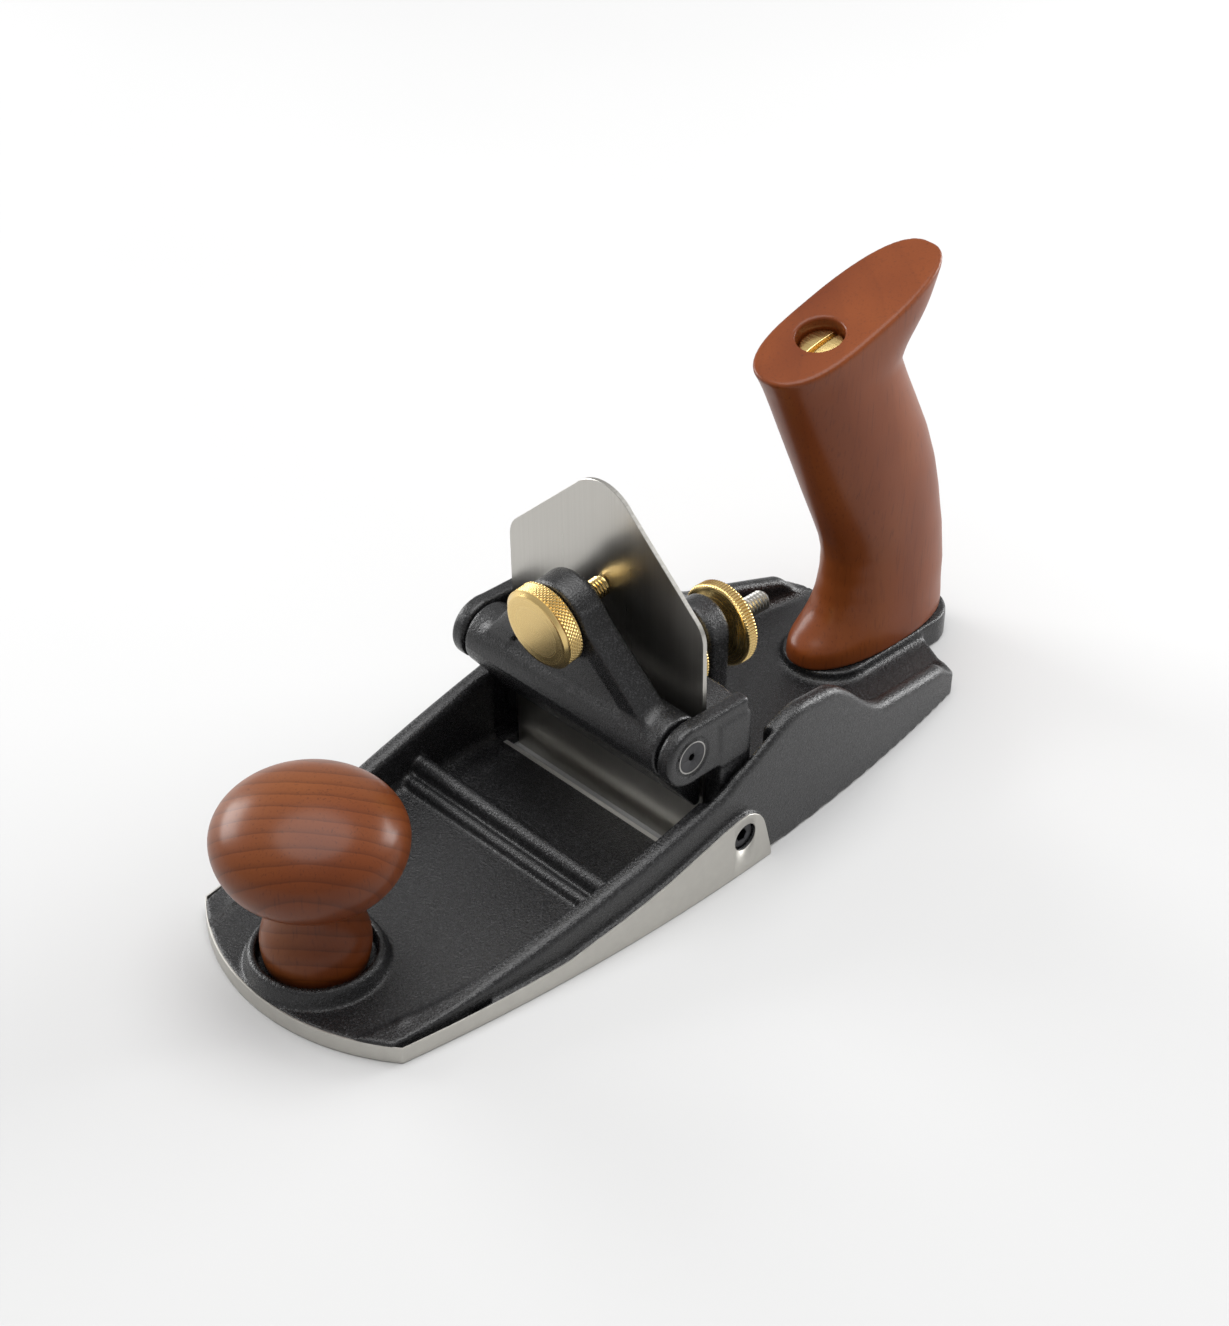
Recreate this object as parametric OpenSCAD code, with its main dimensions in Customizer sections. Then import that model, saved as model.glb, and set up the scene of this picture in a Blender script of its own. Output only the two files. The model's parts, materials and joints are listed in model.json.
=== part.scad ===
// Scraping hand plane: a cast body, a tilting frog with its blade and lever cap,
// a threaded tilt adjuster, a turned front knob and a rear handle.
// Millimetres, +X to the toe, +Y to the left side, +Z up, sole on Z = 0.
// Places along the body are written as distances behind the toe corners.

/* [Body] */
// Half width of the sole where it is widest
sole_half_w = 47.5; // [47.2:0.1:48.5]
// Radius of the curved sides in plan
side_r = 600; // [580:5:640]
// Distance behind the toe corners where the sole is widest
widest_d = 97; // [92:1:102]
// Bulge of the toe ahead of its corners
toe_bulge = 14; // [12:0.5:16]
// Distance from the toe corners to the heel corners
heel_d = 219.5; // [218:0.5:221]
// Distance from the toe corners to the end of the heel tongue
tongue_d = 248; // [246.5:0.5:250]
// Half width of the heel tongue
tongue_half_w = 13.4; // [13.2:0.1:14.5]
// Thickness of the sole plate
sole_t = 5; // [4.6:0.1:5.4]
// Step from the machined side pads in to the painted sides
pad_step = 1.85; // [1.6:0.05:2]
// Thickness of the side walls
wall_t = 5.6; // [5.2:0.1:6]
// Height of the side walls beside the frog
hump_h = 16; // [12:0.5:18]
// Half width of the mouth
mouth_half_w = 37.1; // [37:0.05:37.2]

/* [Frog] */
// Distance behind the toe corners to the frog pivot
pivot_d = 114.7; // [114.5:0.1:114.9]
// Height of the frog pivot
pivot_z = 12.3; // [12.1:0.1:12.5]
// Radius of the points of the frog pivot screws
pivot_r = 2.5; // [2.2:0.1:2.7]
// Half width over the outsides of the ears
ear_half_w = 42; // [41.8:0.1:42.1]
// Thickness of each ear
ear_t = 4.8; // [4.6:0.1:4.9]
// Thickness of the back plate of the frog
plate_t = 11.5; // [11.2:0.1:11.6]

/* [Blade] */
// Width of the blade
blade_w = 73; // [72:0.1:73.2]
// Thickness of the blade
blade_t = 1.4; // [1.2:0.05:1.4]
// Length of the blade from its edge to its top
blade_len = 106.5; // [100:0.5:108]
// Forward lean of the blade, degrees from upright
blade_lean = 2.5; // [2.3:0.1:2.7]
// Distance behind the toe corners to the cutting edge
edge_d = 109.6; // [109.5:0.05:109.7]

/* [Lever cap] */
// Distance behind the toe corners to the lever cap pivot
cap_d = 98.2; // [98:0.1:98.3]
// Height of the lever cap pivot
cap_z = 45; // [44.8:0.1:45.2]
// Radius of the barrel of the lever cap
barrel_r = 9; // [8.6:0.1:9]
// Forward lean of the lever cap, degrees from upright
cap_lean = 9; // [8.5:0.1:9.5]
// Distance from the lever cap pivot up to the axis of its knob
cap_knob_rise = 28.2; // [27:0.2:29]
// Radius of the lever cap knob
cap_knob_r = 11.8; // [11:0.1:12.2]

/* [Adjuster] */
// Height of the threaded rod
rod_z = 40; // [39.8:0.1:40.2]
// Radius of the threaded rod
rod_r = 3.1; // [2.9:0.05:3.2]
// Distance behind the toe corners to the end of the rod
rod_end_d = 170.7; // [166:0.5:173]
// Distance behind the toe corners to the pin of the rod
pin_d = 123; // [122.9:0.05:123.1]
// Radius of the two nuts
nut_r = 12.6; // [12:0.1:12.8]
// Distance behind the toe corners to the middle of the post
post_d = 143.4; // [143.3:0.05:143.5]

/* [Knob and handle] */
// Distance behind the toe corners to the axis of the front knob
knob_d = 5.5; // [5:0.25:6]
// Largest radius of the front knob
knob_r = 25.2; // [24:0.2:26]
// Height of the widest part of the front knob
knob_z = 45.5; // [44:0.25:47]
// Radius of the lower bulge of the front knob
bulge_r = 14.5; // [14:0.1:15]
// Height of the raised boss that the handle stands on
handle_z = 8.6; // [8.2:0.1:9]
// Half width of the grip of the handle
grip_half_w = 13.4; // [12.6:0.1:14]
// Radius of the steel stud and the steel bolt
stud_r = 3; // [2.8:0.1:3.1]

/* [Hidden] */
$fn = 64;

// The longest run is from the tongue to the front of the knob; its middle is the origin.
origin_shift = (tongue_d - (knob_r - knob_d)) / 2;
corner_half_w = half_w(0, 0);
toe_r = (pow(corner_half_w, 2) + pow(toe_bulge, 2)) / (2 * toe_bulge);
wide = 140;
tall = 60;
fit = 0.05;
clear = 0.3;

// Machined pads along the lower sides
pad_ramp_d = 52;
pad_end_d = 126.3;
pad_round_r = 7.2;
pad_ring_t = 3;

// Rib, mouth and frog bay in the sole plate
rib_low_d = 70;
rib_low_top = 8;
rib_low_r = 2.2;
rib_high_d = 74.6;
rib_high_top = 12.6;
rib_high_r = 3.2;
recess_front_d = 78;
recess_z = 3;
mouth_front_d = 104.3;
mouth_rear_d = 116;
bay_front_d = 86;
bay_mid_d = 104;
bay_front_z = 27;
bay_rear_d = 128;
bay_half_w = 42.7;
bay_z = 3.4;

// Rear deck, post and handle boss
deck_z = 5.6;
post_t = 8.2;
post_half_w = 9;
post_slot_half = 1.9;
heel_slope_d = 11;
boss_front_d = 186.5;
boss_tip = 14;

// Knob socket ring
ring_outer_r = 19;
ring_inner_r = 16.4;
ring_z = 8.4;
socket_r = 15.2;
socket_z = 5;
stud_foot_z = 1.5;

// Wall top: a rising front run, a hump beside the frog, a falling rear run
wall_front_d = 4;
wall_step = 4;

// Frog
frog_barrel_r = 8;
bed_gap = 0.02;
bed_x = -edge_d - blade_t / cos(blade_lean) - bed_gap;
ear_r = 9;
ear_rear_d = 119.4;
plate_top = 51.5;
pocket_d = 118.4;
pocket_half = 5.5;
clevis_gap = 6.4;
clevis_t = 3.4;
clevis_r = 4.4;
rod_pin_r = 2;
bow_z = 20.5;
bow_r = 3;
bow_pad_t = 8.8;
bow_head_r = 6;
bow_head_t = 6;
bow_head_d = 124.5;

// Cap pivot screws and frog pivot screws
cap_screw_r = 3;
cap_screw_head_r = 4.6;
cap_screw_head_t = 2;
cap_screw_reach = 9;
set_screw_r = 4.1;
socket_key_r = 2.3;
small_key_r = 0.9;

// Lever cap
cap_half_w = 36.5;
cap_plate_t = 5;
cap_plate_back = -4;
cap_rib_w = 7.5;
cap_rib_front = 5;
cap_boss_r = 10.8;
cap_foot_z = 23;
foot_r = barrel_r - 0.5;
cap_corner_r = cap_boss_r - 0.6;
cap_knob_t = 6.4;
cap_knob_front = 12.1;
cap_stem_r = 3;
cap_stem_tip = -12.35;
screw_in_head = 4;

// Nuts of the adjuster
nut_rim_t = 4.2;
nut_hub_t = 3.1;
nut_hub_r = 6.2;
nut_gap = 0.3;

// Front knob
knob_base_z = 5;
knob_base_r = 13.6;
knob_neck_r = 11.4;
knob_neck_z = 25;
knob_top_h = 15.2;
knob_under_h = 15.5;
insert_r = 5;
insert_low = 9;
insert_high = 25;

// Handle: centre, half length and height of each level section
grip_levels = [
    [handle_z, 217, 30.6],
    [13, 217.4, 29.4],
    [26, 222, 24.3],
    [40, 221.6, 22],
    [65, 212.8, 24],
    [99, 196.4, 23.2]
];
facet_front_d = 168;
facet_front_z = 113.3;
facet_rear_d = 232;
facet_rear_z = 132;
facet_half_w = 13;
bolt_foot_d = 217.4;
bolt_foot_z = 2;
bolt_head_d = 187.4;
bolt_head_z = 117.6;
bolt_len = norm([bolt_foot_d - bolt_head_d, bolt_head_z - bolt_foot_z]);
bolt_lean = atan2(bolt_foot_d - bolt_head_d, bolt_head_z - bolt_foot_z);
handle_recess_r = 7.4;
handle_recess_depth = 5;
handle_nut_r = 5.8;
handle_nut_len = 10;
washer_t = 1.2;
dowel_r = 2;
bolt_top_gap = 6.8;
dowel_d = 199;

// Half width of the body at distance d behind the toe corners
function half_w(d, inset) =
    sole_half_w - side_r + sqrt(pow(side_r - inset, 2) - pow(d - widest_d, 2));

// Smooth step from 0 at a to 1 at b
function ease(a, b, v) =
    let (t = min(max((v - a) / (b - a), 0), 1)) t * t * (3 - 2 * t);

// Height of the side wall at distance d behind the toe corners
function wall_top(d) =
    let (
        front = sole_t + 25 * pow(min(d, 113) / 113, 1.15),
        rear = d < 185
            ? 30 - 11.5 * (d - 113) / 72
            : 18.5 - 6.5 * (d - 185) / 30,
        hump = hump_h * ease(105, 141, d) * (1 - ease(151, 181, d)),
        heel_drop = 4 * ease(212, 220, d)
    )
    (d < 113 ? front : rear) + hump - heel_drop;

// Points of an arc around [x, y]
function arc(x, y, r, from, to, steps = 8) =
    [for (i = [0:steps]) let (a = from + (to - from) * i / steps) [x + r * cos(a), y + r * sin(a)]];

// Everything is built from the toe corners and moved to the origin here.
module from_toe() {
    translate([origin_shift, 0, 0]) children();
}

// A side profile drawn in X and Z, run across the body
module across(half_width) {
    rotate([90, 0, 0])
        linear_extrude(2 * half_width, center = true)
            children();
}

// A cylinder along Y between two places
module y_rod(x, z, r, y1, y2) {
    translate([x, y2, z]) rotate([90, 0, 0]) cylinder(r = r, h = y2 - y1);
}

// A cylinder along X that starts at distance d and runs back
module back_rod(d, z, r, len) {
    translate([-d, 0, z]) rotate([0, -90, 0]) cylinder(r = r, h = len);
}

module side_bound(inset) {
    intersection_for (side = [-1, 1])
        translate([-widest_d, side * (sole_half_w - side_r)])
            circle(r = side_r - inset, $fn = 720);
}

module heel_plan() {
    slope_end = heel_d + heel_slope_d;
    polygon([
        [-heel_d + 1, wide / 2],
        [-heel_d, half_w(heel_d, pad_step)],
        [-slope_end, tongue_half_w],
        [-slope_end, -tongue_half_w],
        [-heel_d, -half_w(heel_d, pad_step)],
        [-heel_d + 1, -wide / 2]
    ]);
    translate([-tongue_d + tongue_half_w, -tongue_half_w]) square([30, 2 * tongue_half_w]);
    translate([-tongue_d + tongue_half_w, 0]) circle(r = tongue_half_w);
}

module plan(inset) {
    intersection() {
        side_bound(inset);
        union() {
            translate([toe_bulge - toe_r, 0]) circle(r = toe_r, $fn = 180);
            translate([-heel_d, -wide / 2]) square([heel_d - 40, wide]);
            heel_plan();
        }
    }
}

module bay_plan() {
    translate([-bay_rear_d, -bay_half_w]) square([bay_rear_d - bay_mid_d, 2 * bay_half_w]);
}

module sole_plate() {
    difference() {
        linear_extrude(sole_t) {
            plan(pad_step);
            intersection() {
                plan(0);
                translate([-pad_end_d, -wide / 2]) square([200, wide]);
            }
        }
        // Floor of the frog bay
        translate([0, 0, bay_z]) linear_extrude(tall) bay_plan();
    }
    translate([0, 0, sole_t - 0.5])
        linear_extrude(deck_z - sole_t + 0.5)
            intersection() {
                plan(pad_step + 1);
                translate([-300, -wide / 2]) square([300 - bay_rear_d, wide]);
            }
}

module pad_profile() {
    polygon([[30, 0], [30, sole_t], [-pad_ramp_d, sole_t],
        [-pivot_d + 2.4, pivot_z + pad_round_r - 0.4], [-pivot_d, pivot_z],
        [-pivot_d - 6.9, pivot_z + 2], [-pad_end_d, 0]]);
    translate([-pivot_d, pivot_z]) circle(r = pad_round_r);
}

module side_pads() {
    intersection() {
        linear_extrude(tall) difference() {
            plan(0);
            side_bound(pad_ring_t);
        }
        across(wide / 2) pad_profile();
    }
}

// One run of both walls between two distances; the child is cut from its plan
module wall_run(d1, d2) {
    intersection() {
        linear_extrude(tall) difference() {
            plan(pad_step);
            children();
        }
        across(wide / 2)
            polygon(concat(
                [[-d2, 0], [-d1, 0]],
                [for (d = [d1:wall_step:d2 - 0.1]) [-d, wall_top(d)]],
                [[-d2, wall_top(d2)]]
            ));
    }
}

module side_walls() {
    wall_run(wall_front_d, bay_mid_d) side_bound(pad_step + wall_t);
    wall_run(bay_mid_d, bay_rear_d)
        translate([-bay_rear_d - 10, -bay_half_w]) square([50, 2 * bay_half_w]);
    wall_run(bay_rear_d, heel_d) side_bound(pad_step + wall_t);
}

module rib() {
    half = half_w(rib_low_d, pad_step) - wall_t / 2;
    y_rod(-rib_low_d, rib_low_top - rib_low_r, rib_low_r, -half, half);
    y_rod(-rib_high_d, rib_high_top - rib_high_r, rib_high_r, -half, half);
    across(half)
        polygon([
            [-rib_low_d + rib_low_r + 2, sole_t - 1],
            [-rib_low_d + rib_low_r, rib_low_top - rib_low_r],
            [-rib_low_d, rib_low_top - 0.4],
            [-rib_high_d, rib_low_top - 0.4],
            [-rib_high_d, rib_high_top - rib_high_r],
            [-rib_high_d - rib_high_r, rib_high_top - rib_high_r],
            [-rib_high_d - rib_high_r - 0.4, sole_t - 1]
        ]);
}

module knob_ring() {
    translate([-knob_d, 0, sole_t - 1])
        rotate_extrude()
            polygon([
                [0, 0], [ring_outer_r, 0], [ring_outer_r - 0.3, 2],
                [ring_inner_r + 1.2, ring_z - sole_t + 1],
                [ring_inner_r, ring_z - sole_t + 1], [0, ring_z - sole_t + 1]
            ]);
}

module handle_boss() {
    linear_extrude(handle_z) {
        translate([-tongue_d + tongue_half_w, 0]) circle(r = tongue_half_w);
        translate([-tongue_d + tongue_half_w, -tongue_half_w])
            square([tongue_d - tongue_half_w - boss_front_d - boss_tip, 2 * tongue_half_w]);
        translate([-boss_front_d - boss_tip, 0]) circle(r = tongue_half_w);
    }
}

module post() {
    translate([-post_d - post_t / 2, -post_half_w, sole_t - 1])
        cube([post_t, 2 * post_half_w, rod_z + 3 - sole_t + 1]);
    back_rod(post_d - post_t / 2, rod_z + 3, post_half_w, post_t);
}

module body() {
    color([0.17, 0.17, 0.18]) from_toe() difference() {
        union() {
            sole_plate();
            side_pads();
            side_walls();
            rib();
            knob_ring();
            handle_boss();
            post();
        }
        // Lower floor between the rib and the mouth
        translate([-mouth_rear_d, -mouth_half_w - 1.5, recess_z])
            cube([mouth_rear_d - recess_front_d, 2 * mouth_half_w + 3, 3]);
        // Mouth
        translate([-mouth_rear_d, -mouth_half_w, -1])
            cube([mouth_rear_d - mouth_front_d, 2 * mouth_half_w, 10]);
        // Room for the ears above the front of the bay
        translate([-bay_mid_d - 2, -bay_half_w, bay_front_z])
            cube([bay_mid_d + 2 - bay_front_d, 2 * bay_half_w, tall]);
        // Threaded holes for the frog pivot screws
        y_rod(-pivot_d, pivot_z, set_screw_r + fit, -wide / 2, -bay_half_w + 3);
        y_rod(-pivot_d, pivot_z, set_screw_r + fit, bay_half_w - 3, wide / 2);
        // Socket and threaded hole of the front knob
        translate([-knob_d, 0, socket_z]) cylinder(r = socket_r, h = 20);
        translate([-knob_d, 0, stud_foot_z]) cylinder(r = stud_r + fit, h = 20);
        // Slot of the rod in the post
        for (dz = [-post_slot_half, post_slot_half])
            back_rod(post_d - post_t, rod_z + dz, rod_r + 0.3, 2 * post_t);
        translate([-post_d - post_t, -rod_r - 0.3, rod_z - post_slot_half])
            cube([2 * post_t, 2 * rod_r + 0.6, 2 * post_slot_half]);
        // Threaded hole of the handle bolt and hole of the dowel
        along_bolt() cylinder(r = stud_r + fit, h = 20);
        translate([-dowel_d, 0, handle_z - 5]) cylinder(r = dowel_r + fit, h = 20);
    }
}

module frog_pivot_screws() {
    color([0.42, 0.42, 0.43]) from_toe() for (side = [-1, 1]) {
        outer = half_w(pivot_d, 0) - 0.6;
        inner = bay_half_w;
        mirror([0, side < 0 ? 1 : 0, 0]) difference() {
            union() {
                y_rod(-pivot_d, pivot_z, set_screw_r, inner, outer);
                y_rod(-pivot_d, pivot_z, pivot_r, ear_half_w - 4, inner + 1);
            }
            translate([-pivot_d, outer + 1, pivot_z])
                rotate([90, 0, 0]) cylinder(r = socket_key_r, h = 3.6, $fn = 6);
        }
    }
}

module knob_stud() {
    color([0.45, 0.45, 0.46]) from_toe()
        translate([-knob_d, 0, stud_foot_z + 0.1])
            cylinder(r = stud_r, h = insert_high - 1 - stud_foot_z);
}

module along_bolt() {
    translate([-bolt_foot_d, 0, bolt_foot_z]) rotate([0, bolt_lean, 0]) children();
}

module handle_bolt() {
    color([0.45, 0.45, 0.46]) from_toe() along_bolt()
        translate([0, 0, 0.2]) cylinder(r = stud_r, h = bolt_len - bolt_top_gap);
}

module handle_dowel() {
    color([0.45, 0.45, 0.46]) from_toe()
        translate([-dowel_d, 0, handle_z - 4.8]) cylinder(r = dowel_r, h = 10);
}

// Half space behind the bed that the blade rests on, as a slanted block
module behind_bed(depth, half_width, z1, z2) {
    translate([bed_x, 0, 0])
        rotate([0, blade_lean, 0])
            translate([-depth, -half_width, z1])
                cube([depth, 2 * half_width, z2 - z1]);
}

module ear_profile() {
    top = cap_z + ear_r;
    low = cap_z - ear_r;
    translate([-cap_d, cap_z]) circle(r = ear_r);
    polygon(concat(
        [[-cap_d, top], [-cap_d, low]],
        arc(-ear_rear_d + 3, low + 3, 3, 270, 180),
        [[-ear_rear_d, top - 6], [-ear_rear_d + 4, top]]
    ));
}

module frog() {
    ear_in = ear_half_w - ear_t;
    color([0.19, 0.19, 0.2]) from_toe() difference() {
        union() {
            // Back plate with a pocket for the eye of the rod
            difference() {
                behind_bed(plate_t, ear_half_w, pivot_z - 2, plate_top);
                translate([-pocket_d - 10, -clevis_gap / 2, rod_z - pocket_half])
                    cube([10, clevis_gap, 2 * pocket_half]);
            }
            // Hinge barrel, flat along the bed
            intersection() {
                y_rod(-pivot_d, pivot_z, frog_barrel_r, -ear_half_w, ear_half_w);
                behind_bed(40, ear_half_w, -10, 40);
            }
            // Ears
            for (side = [-1, 1])
                translate([0, side * (ear_half_w - ear_t / 2), 0])
                    across(ear_t / 2) ear_profile();
            // Clevis for the rod
            for (side = [-1, 1])
                translate([0, side * (clevis_gap + clevis_t) / 2, 0]) {
                    across(clevis_t / 2) union() {
                        translate([-pin_d, rod_z]) circle(r = clevis_r);
                        translate([-pin_d, rod_z - clevis_r]) square([8, 2 * clevis_r]);
                    }
                }
            // Threaded pad of the bow screw
            back_rod(114, bow_z, bow_r + 3.4, bow_pad_t);
        }
        // Pivot bores
        y_rod(-pivot_d, pivot_z, pivot_r + fit, -wide / 2, -ear_half_w + 5);
        y_rod(-pivot_d, pivot_z, pivot_r + fit, ear_half_w - 5, wide / 2);
        // Holes of the cap pivot screws
        for (side = [-1, 1]) mirror([0, side < 0 ? 1 : 0, 0]) {
            y_rod(-cap_d, cap_z, cap_screw_r + fit, ear_in - 1, ear_half_w + 1);
            y_rod(-cap_d, cap_z, cap_screw_head_r + fit,
                ear_half_w - cap_screw_head_t, ear_half_w + 1);
        }
        // Hole of the rod pin
        y_rod(-pin_d, rod_z, rod_pin_r + fit, -10, 10);
        // Threaded hole of the bow screw
        back_rod(100, bow_z, bow_r + fit, 40);
    }
}

module cap_pivot_screws() {
    color([0.3, 0.3, 0.31]) from_toe() for (side = [-1, 1])
        mirror([0, side < 0 ? 1 : 0, 0]) difference() {
            union() {
                y_rod(-cap_d, cap_z, cap_screw_r,
                    cap_half_w - cap_screw_reach + 1, ear_half_w - cap_screw_head_t);
                y_rod(-cap_d, cap_z, cap_screw_head_r,
                    ear_half_w - cap_screw_head_t, ear_half_w - 0.1);
            }
            translate([-cap_d, ear_half_w + 1, cap_z])
                rotate([90, 0, 0]) cylinder(r = small_key_r, h = 2.6, $fn = 6);
        }
}

module rod_pin() {
    half = clevis_gap / 2 + clevis_t - 0.1;
    color([0.5, 0.5, 0.51]) from_toe() y_rod(-pin_d, rod_z, rod_pin_r, -half, half);
}

module blade_outline() {
    half = blade_w / 2;
    shoulder_r = 9;
    top_r = 13;
    shoulder_z = 73;
    slope = 49;
    polygon(concat(
        [[-half, 0], [half, 0]],
        arc(half - shoulder_r, shoulder_z, shoulder_r, 0, 90 - slope),
        arc(0, blade_len - top_r, top_r, 90 - slope, 90 + slope, 12),
        arc(-half + shoulder_r, shoulder_z, shoulder_r, 90 + slope, 180)
    ));
}

module blade() {
    color([0.75, 0.75, 0.73]) from_toe()
        translate([-edge_d, 0, 0]) rotate([0, blade_lean, 0]) difference() {
            translate([-blade_t, 0, 0.05])
                rotate([90, 0, 90]) linear_extrude(blade_t) blade_outline();
            // Bevel on the back of the edge
            translate([0, -wide / 2, 0]) rotate([0, -45, 0])
                translate([-6, 0, -6]) cube([6, wide, 6]);
        }
}

// Frame of the lever cap: pivot at the origin, leaning with the cap
module cap_frame() {
    translate([-cap_d, 0, cap_z]) rotate([0, cap_lean, 0]) children();
}

module cap_face(thickness) {
    rotate([90, 0, 90]) linear_extrude(thickness) children();
}

module lever_cap() {
    rib_lean = atan2(cap_half_w - 2, cap_knob_rise);
    tip = bed_x + blade_t + cap_foot_z * tan(blade_lean) + clear;
    color([0.18, 0.18, 0.19]) from_toe() difference() {
        union() {
            y_rod(-cap_d, cap_z, barrel_r, -cap_half_w, cap_half_w);
            // Foot that presses the blade
            across(cap_half_w) polygon([
                [tip, cap_foot_z], [tip + 3, cap_foot_z - 1.4],
                [-cap_d + foot_r * cos(20), cap_z - foot_r * sin(20)],
                [-cap_d, cap_z], [-cap_d - foot_r * 0.86, cap_z - 4.5],
                [tip + 2.2, cap_foot_z + 5]
            ]);
            cap_frame() {
                // Thin face
                translate([cap_plate_back, 0, 0]) cap_face(cap_plate_t)
                    polygon([
                        [0.5 - cap_half_w, 0], [cap_half_w - 0.5, 0], [cap_half_w - 0.5, 5],
                        [cap_corner_r * cos(40), cap_knob_rise + cap_corner_r * sin(40)],
                        [-cap_corner_r * cos(40), cap_knob_rise + cap_corner_r * sin(40)],
                        [0.5 - cap_half_w, 5]
                    ]);
                // Raised ribs from the top boss down to the ears
                for (side = [-1, 1])
                    mirror([0, side < 0 ? 1 : 0, 0])
                        intersection() {
                            translate([cap_plate_back + 0.3, 0, cap_knob_rise])
                                rotate([180 - rib_lean, 0, 0])
                                    translate([0, -cap_corner_r, 0])
                                        cube([cap_rib_front - cap_plate_back - 0.8, cap_rib_w, 60]);
                            translate([-wide / 2, 0.5, -0.5])
                                cube([wide, cap_half_w - 1, wide]);
                        }
                // Top boss that carries the knob
                translate([cap_plate_back, 0, cap_knob_rise]) rotate([0, 90, 0])
                    cylinder(r = cap_boss_r, h = cap_rib_front - cap_plate_back);
            }
        }
        cap_frame() {
            // Threaded hole of the knob
            translate([-20, 0, cap_knob_rise]) rotate([0, 90, 0])
                cylinder(r = cap_stem_r + fit, h = 40);
        }
        // Pivot bores
        y_rod(-cap_d, cap_z, cap_screw_r + fit, -wide / 2, -cap_half_w + cap_screw_reach);
        y_rod(-cap_d, cap_z, cap_screw_r + fit, cap_half_w - cap_screw_reach, wide / 2);
    }
}

module cap_screw() {
    back = cap_knob_front - cap_knob_t;
    color([0.5, 0.5, 0.51]) from_toe() cap_frame()
        translate([cap_stem_tip, 0, cap_knob_rise]) rotate([0, 90, 0])
            cylinder(r = cap_stem_r, h = back - cap_stem_tip + screw_in_head);
}

module cap_knob() {
    back = cap_knob_front - cap_knob_t;
    color([0.86, 0.7, 0.36]) from_toe() cap_frame()
        translate([back, 0, cap_knob_rise]) rotate([0, 90, 0]) difference() {
            rotate_extrude()
                polygon([
                    [0, 0], [cap_knob_r - 0.6, 0], [cap_knob_r, 0.6],
                    [cap_knob_r, cap_knob_t - 1], [cap_knob_r - 1, cap_knob_t],
                    [0, cap_knob_t]
                ]);
            translate([0, 0, -1]) cylinder(r = cap_stem_r + fit, h = screw_in_head + 1.1);
        }
}

module adjust_rod() {
    color([0.55, 0.53, 0.5]) from_toe() difference() {
        union() {
            y_rod(-pin_d, rod_z, clevis_r - 0.6, -clevis_gap / 2 + 0.2, clevis_gap / 2 - 0.2);
            back_rod(pin_d + 2, rod_z, rod_r, rod_end_d - pin_d - 3);
            translate([-rod_end_d + 1, 0, rod_z]) rotate([0, -90, 0])
                cylinder(r1 = rod_r, r2 = rod_r - 0.8, h = 1);
        }
        y_rod(-pin_d, rod_z, rod_pin_r + fit, -10, 10);
    }
}

// One brass nut: flared hub against the post, wide rim outside
module nut_shape() {
    difference() {
        rotate_extrude()
            polygon(concat(
                [[rod_r, 0], [nut_hub_r, 0]],
                [for (i = [1:6]) let (t = i / 6)
                    [nut_hub_r + (nut_r - 1.6 - nut_hub_r) * pow(t, 1.7), nut_hub_t * t]],
                [[nut_r - 0.5, nut_hub_t], [nut_r, nut_hub_t + 0.5],
                    [nut_r, nut_hub_t + nut_rim_t - 0.5],
                    [nut_r - 0.5, nut_hub_t + nut_rim_t],
                    [rod_r, nut_hub_t + nut_rim_t]]
            ));
        translate([0, 0, -1]) cylinder(r = rod_r + fit, h = 20);
    }
}

module rear_nut() {
    color([0.85, 0.7, 0.38]) from_toe()
        translate([-post_d - post_t / 2 - nut_gap, 0, rod_z]) rotate([0, -90, 0]) nut_shape();
}

module front_nut() {
    color([0.85, 0.7, 0.38]) from_toe()
        translate([-post_d + post_t / 2 + nut_gap, 0, rod_z]) rotate([0, 90, 0]) nut_shape();
}

module bow_screw() {
    tip = -bed_x - bow_z * tan(blade_lean) + clear;
    color([0.5, 0.5, 0.51]) from_toe() back_rod(tip, bow_z, bow_r, bow_head_d + screw_in_head - tip);
}

module bow_knob() {
    color([0.85, 0.7, 0.38]) from_toe() difference() {
        back_rod(bow_head_d, bow_z, bow_head_r, bow_head_t);
        back_rod(bow_head_d - 1, bow_z, bow_r + fit, screw_in_head + 1.1);
    }
}

module front_knob() {
    color([0.45, 0.2, 0.11]) from_toe() translate([-knob_d, 0, 0]) difference() {
        rotate_extrude()
            polygon(concat(
                [[0, knob_base_z], [knob_base_r - 0.8, knob_base_z]],
                // Lower bulge
                [for (i = [0:8]) let (t = i / 8)
                    [knob_base_r + (bulge_r - knob_base_r) * sin(180 * min(t * 1.1, 1)) -
                        (knob_base_r - knob_neck_r) * ease(0.45, 1, t),
                     6 + (knob_neck_z - 6) * t]],
                // Underside of the head, then its rim and its top
                [for (a = [-62:8:90])
                    [knob_r * cos(a), knob_z + (a < 0 ? knob_under_h : knob_top_h) * sin(a)]],
                [[0, knob_z + knob_top_h]]
            ));
        translate([0, 0, insert_low - 6]) cylinder(r = insert_r + fit, h = insert_high - insert_low + 6);
    }
}

module knob_insert() {
    color([0.8, 0.66, 0.36]) from_toe() translate([-knob_d, 0, insert_low]) difference() {
        cylinder(r = insert_r, h = insert_high - insert_low - 0.1);
        translate([0, 0, -1]) cylinder(r = stud_r + fit, h = 40);
    }
}

module grip_section(level, thickness = 0.2) {
    translate([-level[1], 0, level[0]])
        scale([level[2], grip_half_w, 1])
            cylinder(r = 1, h = thickness, $fn = 32);
}

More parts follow.
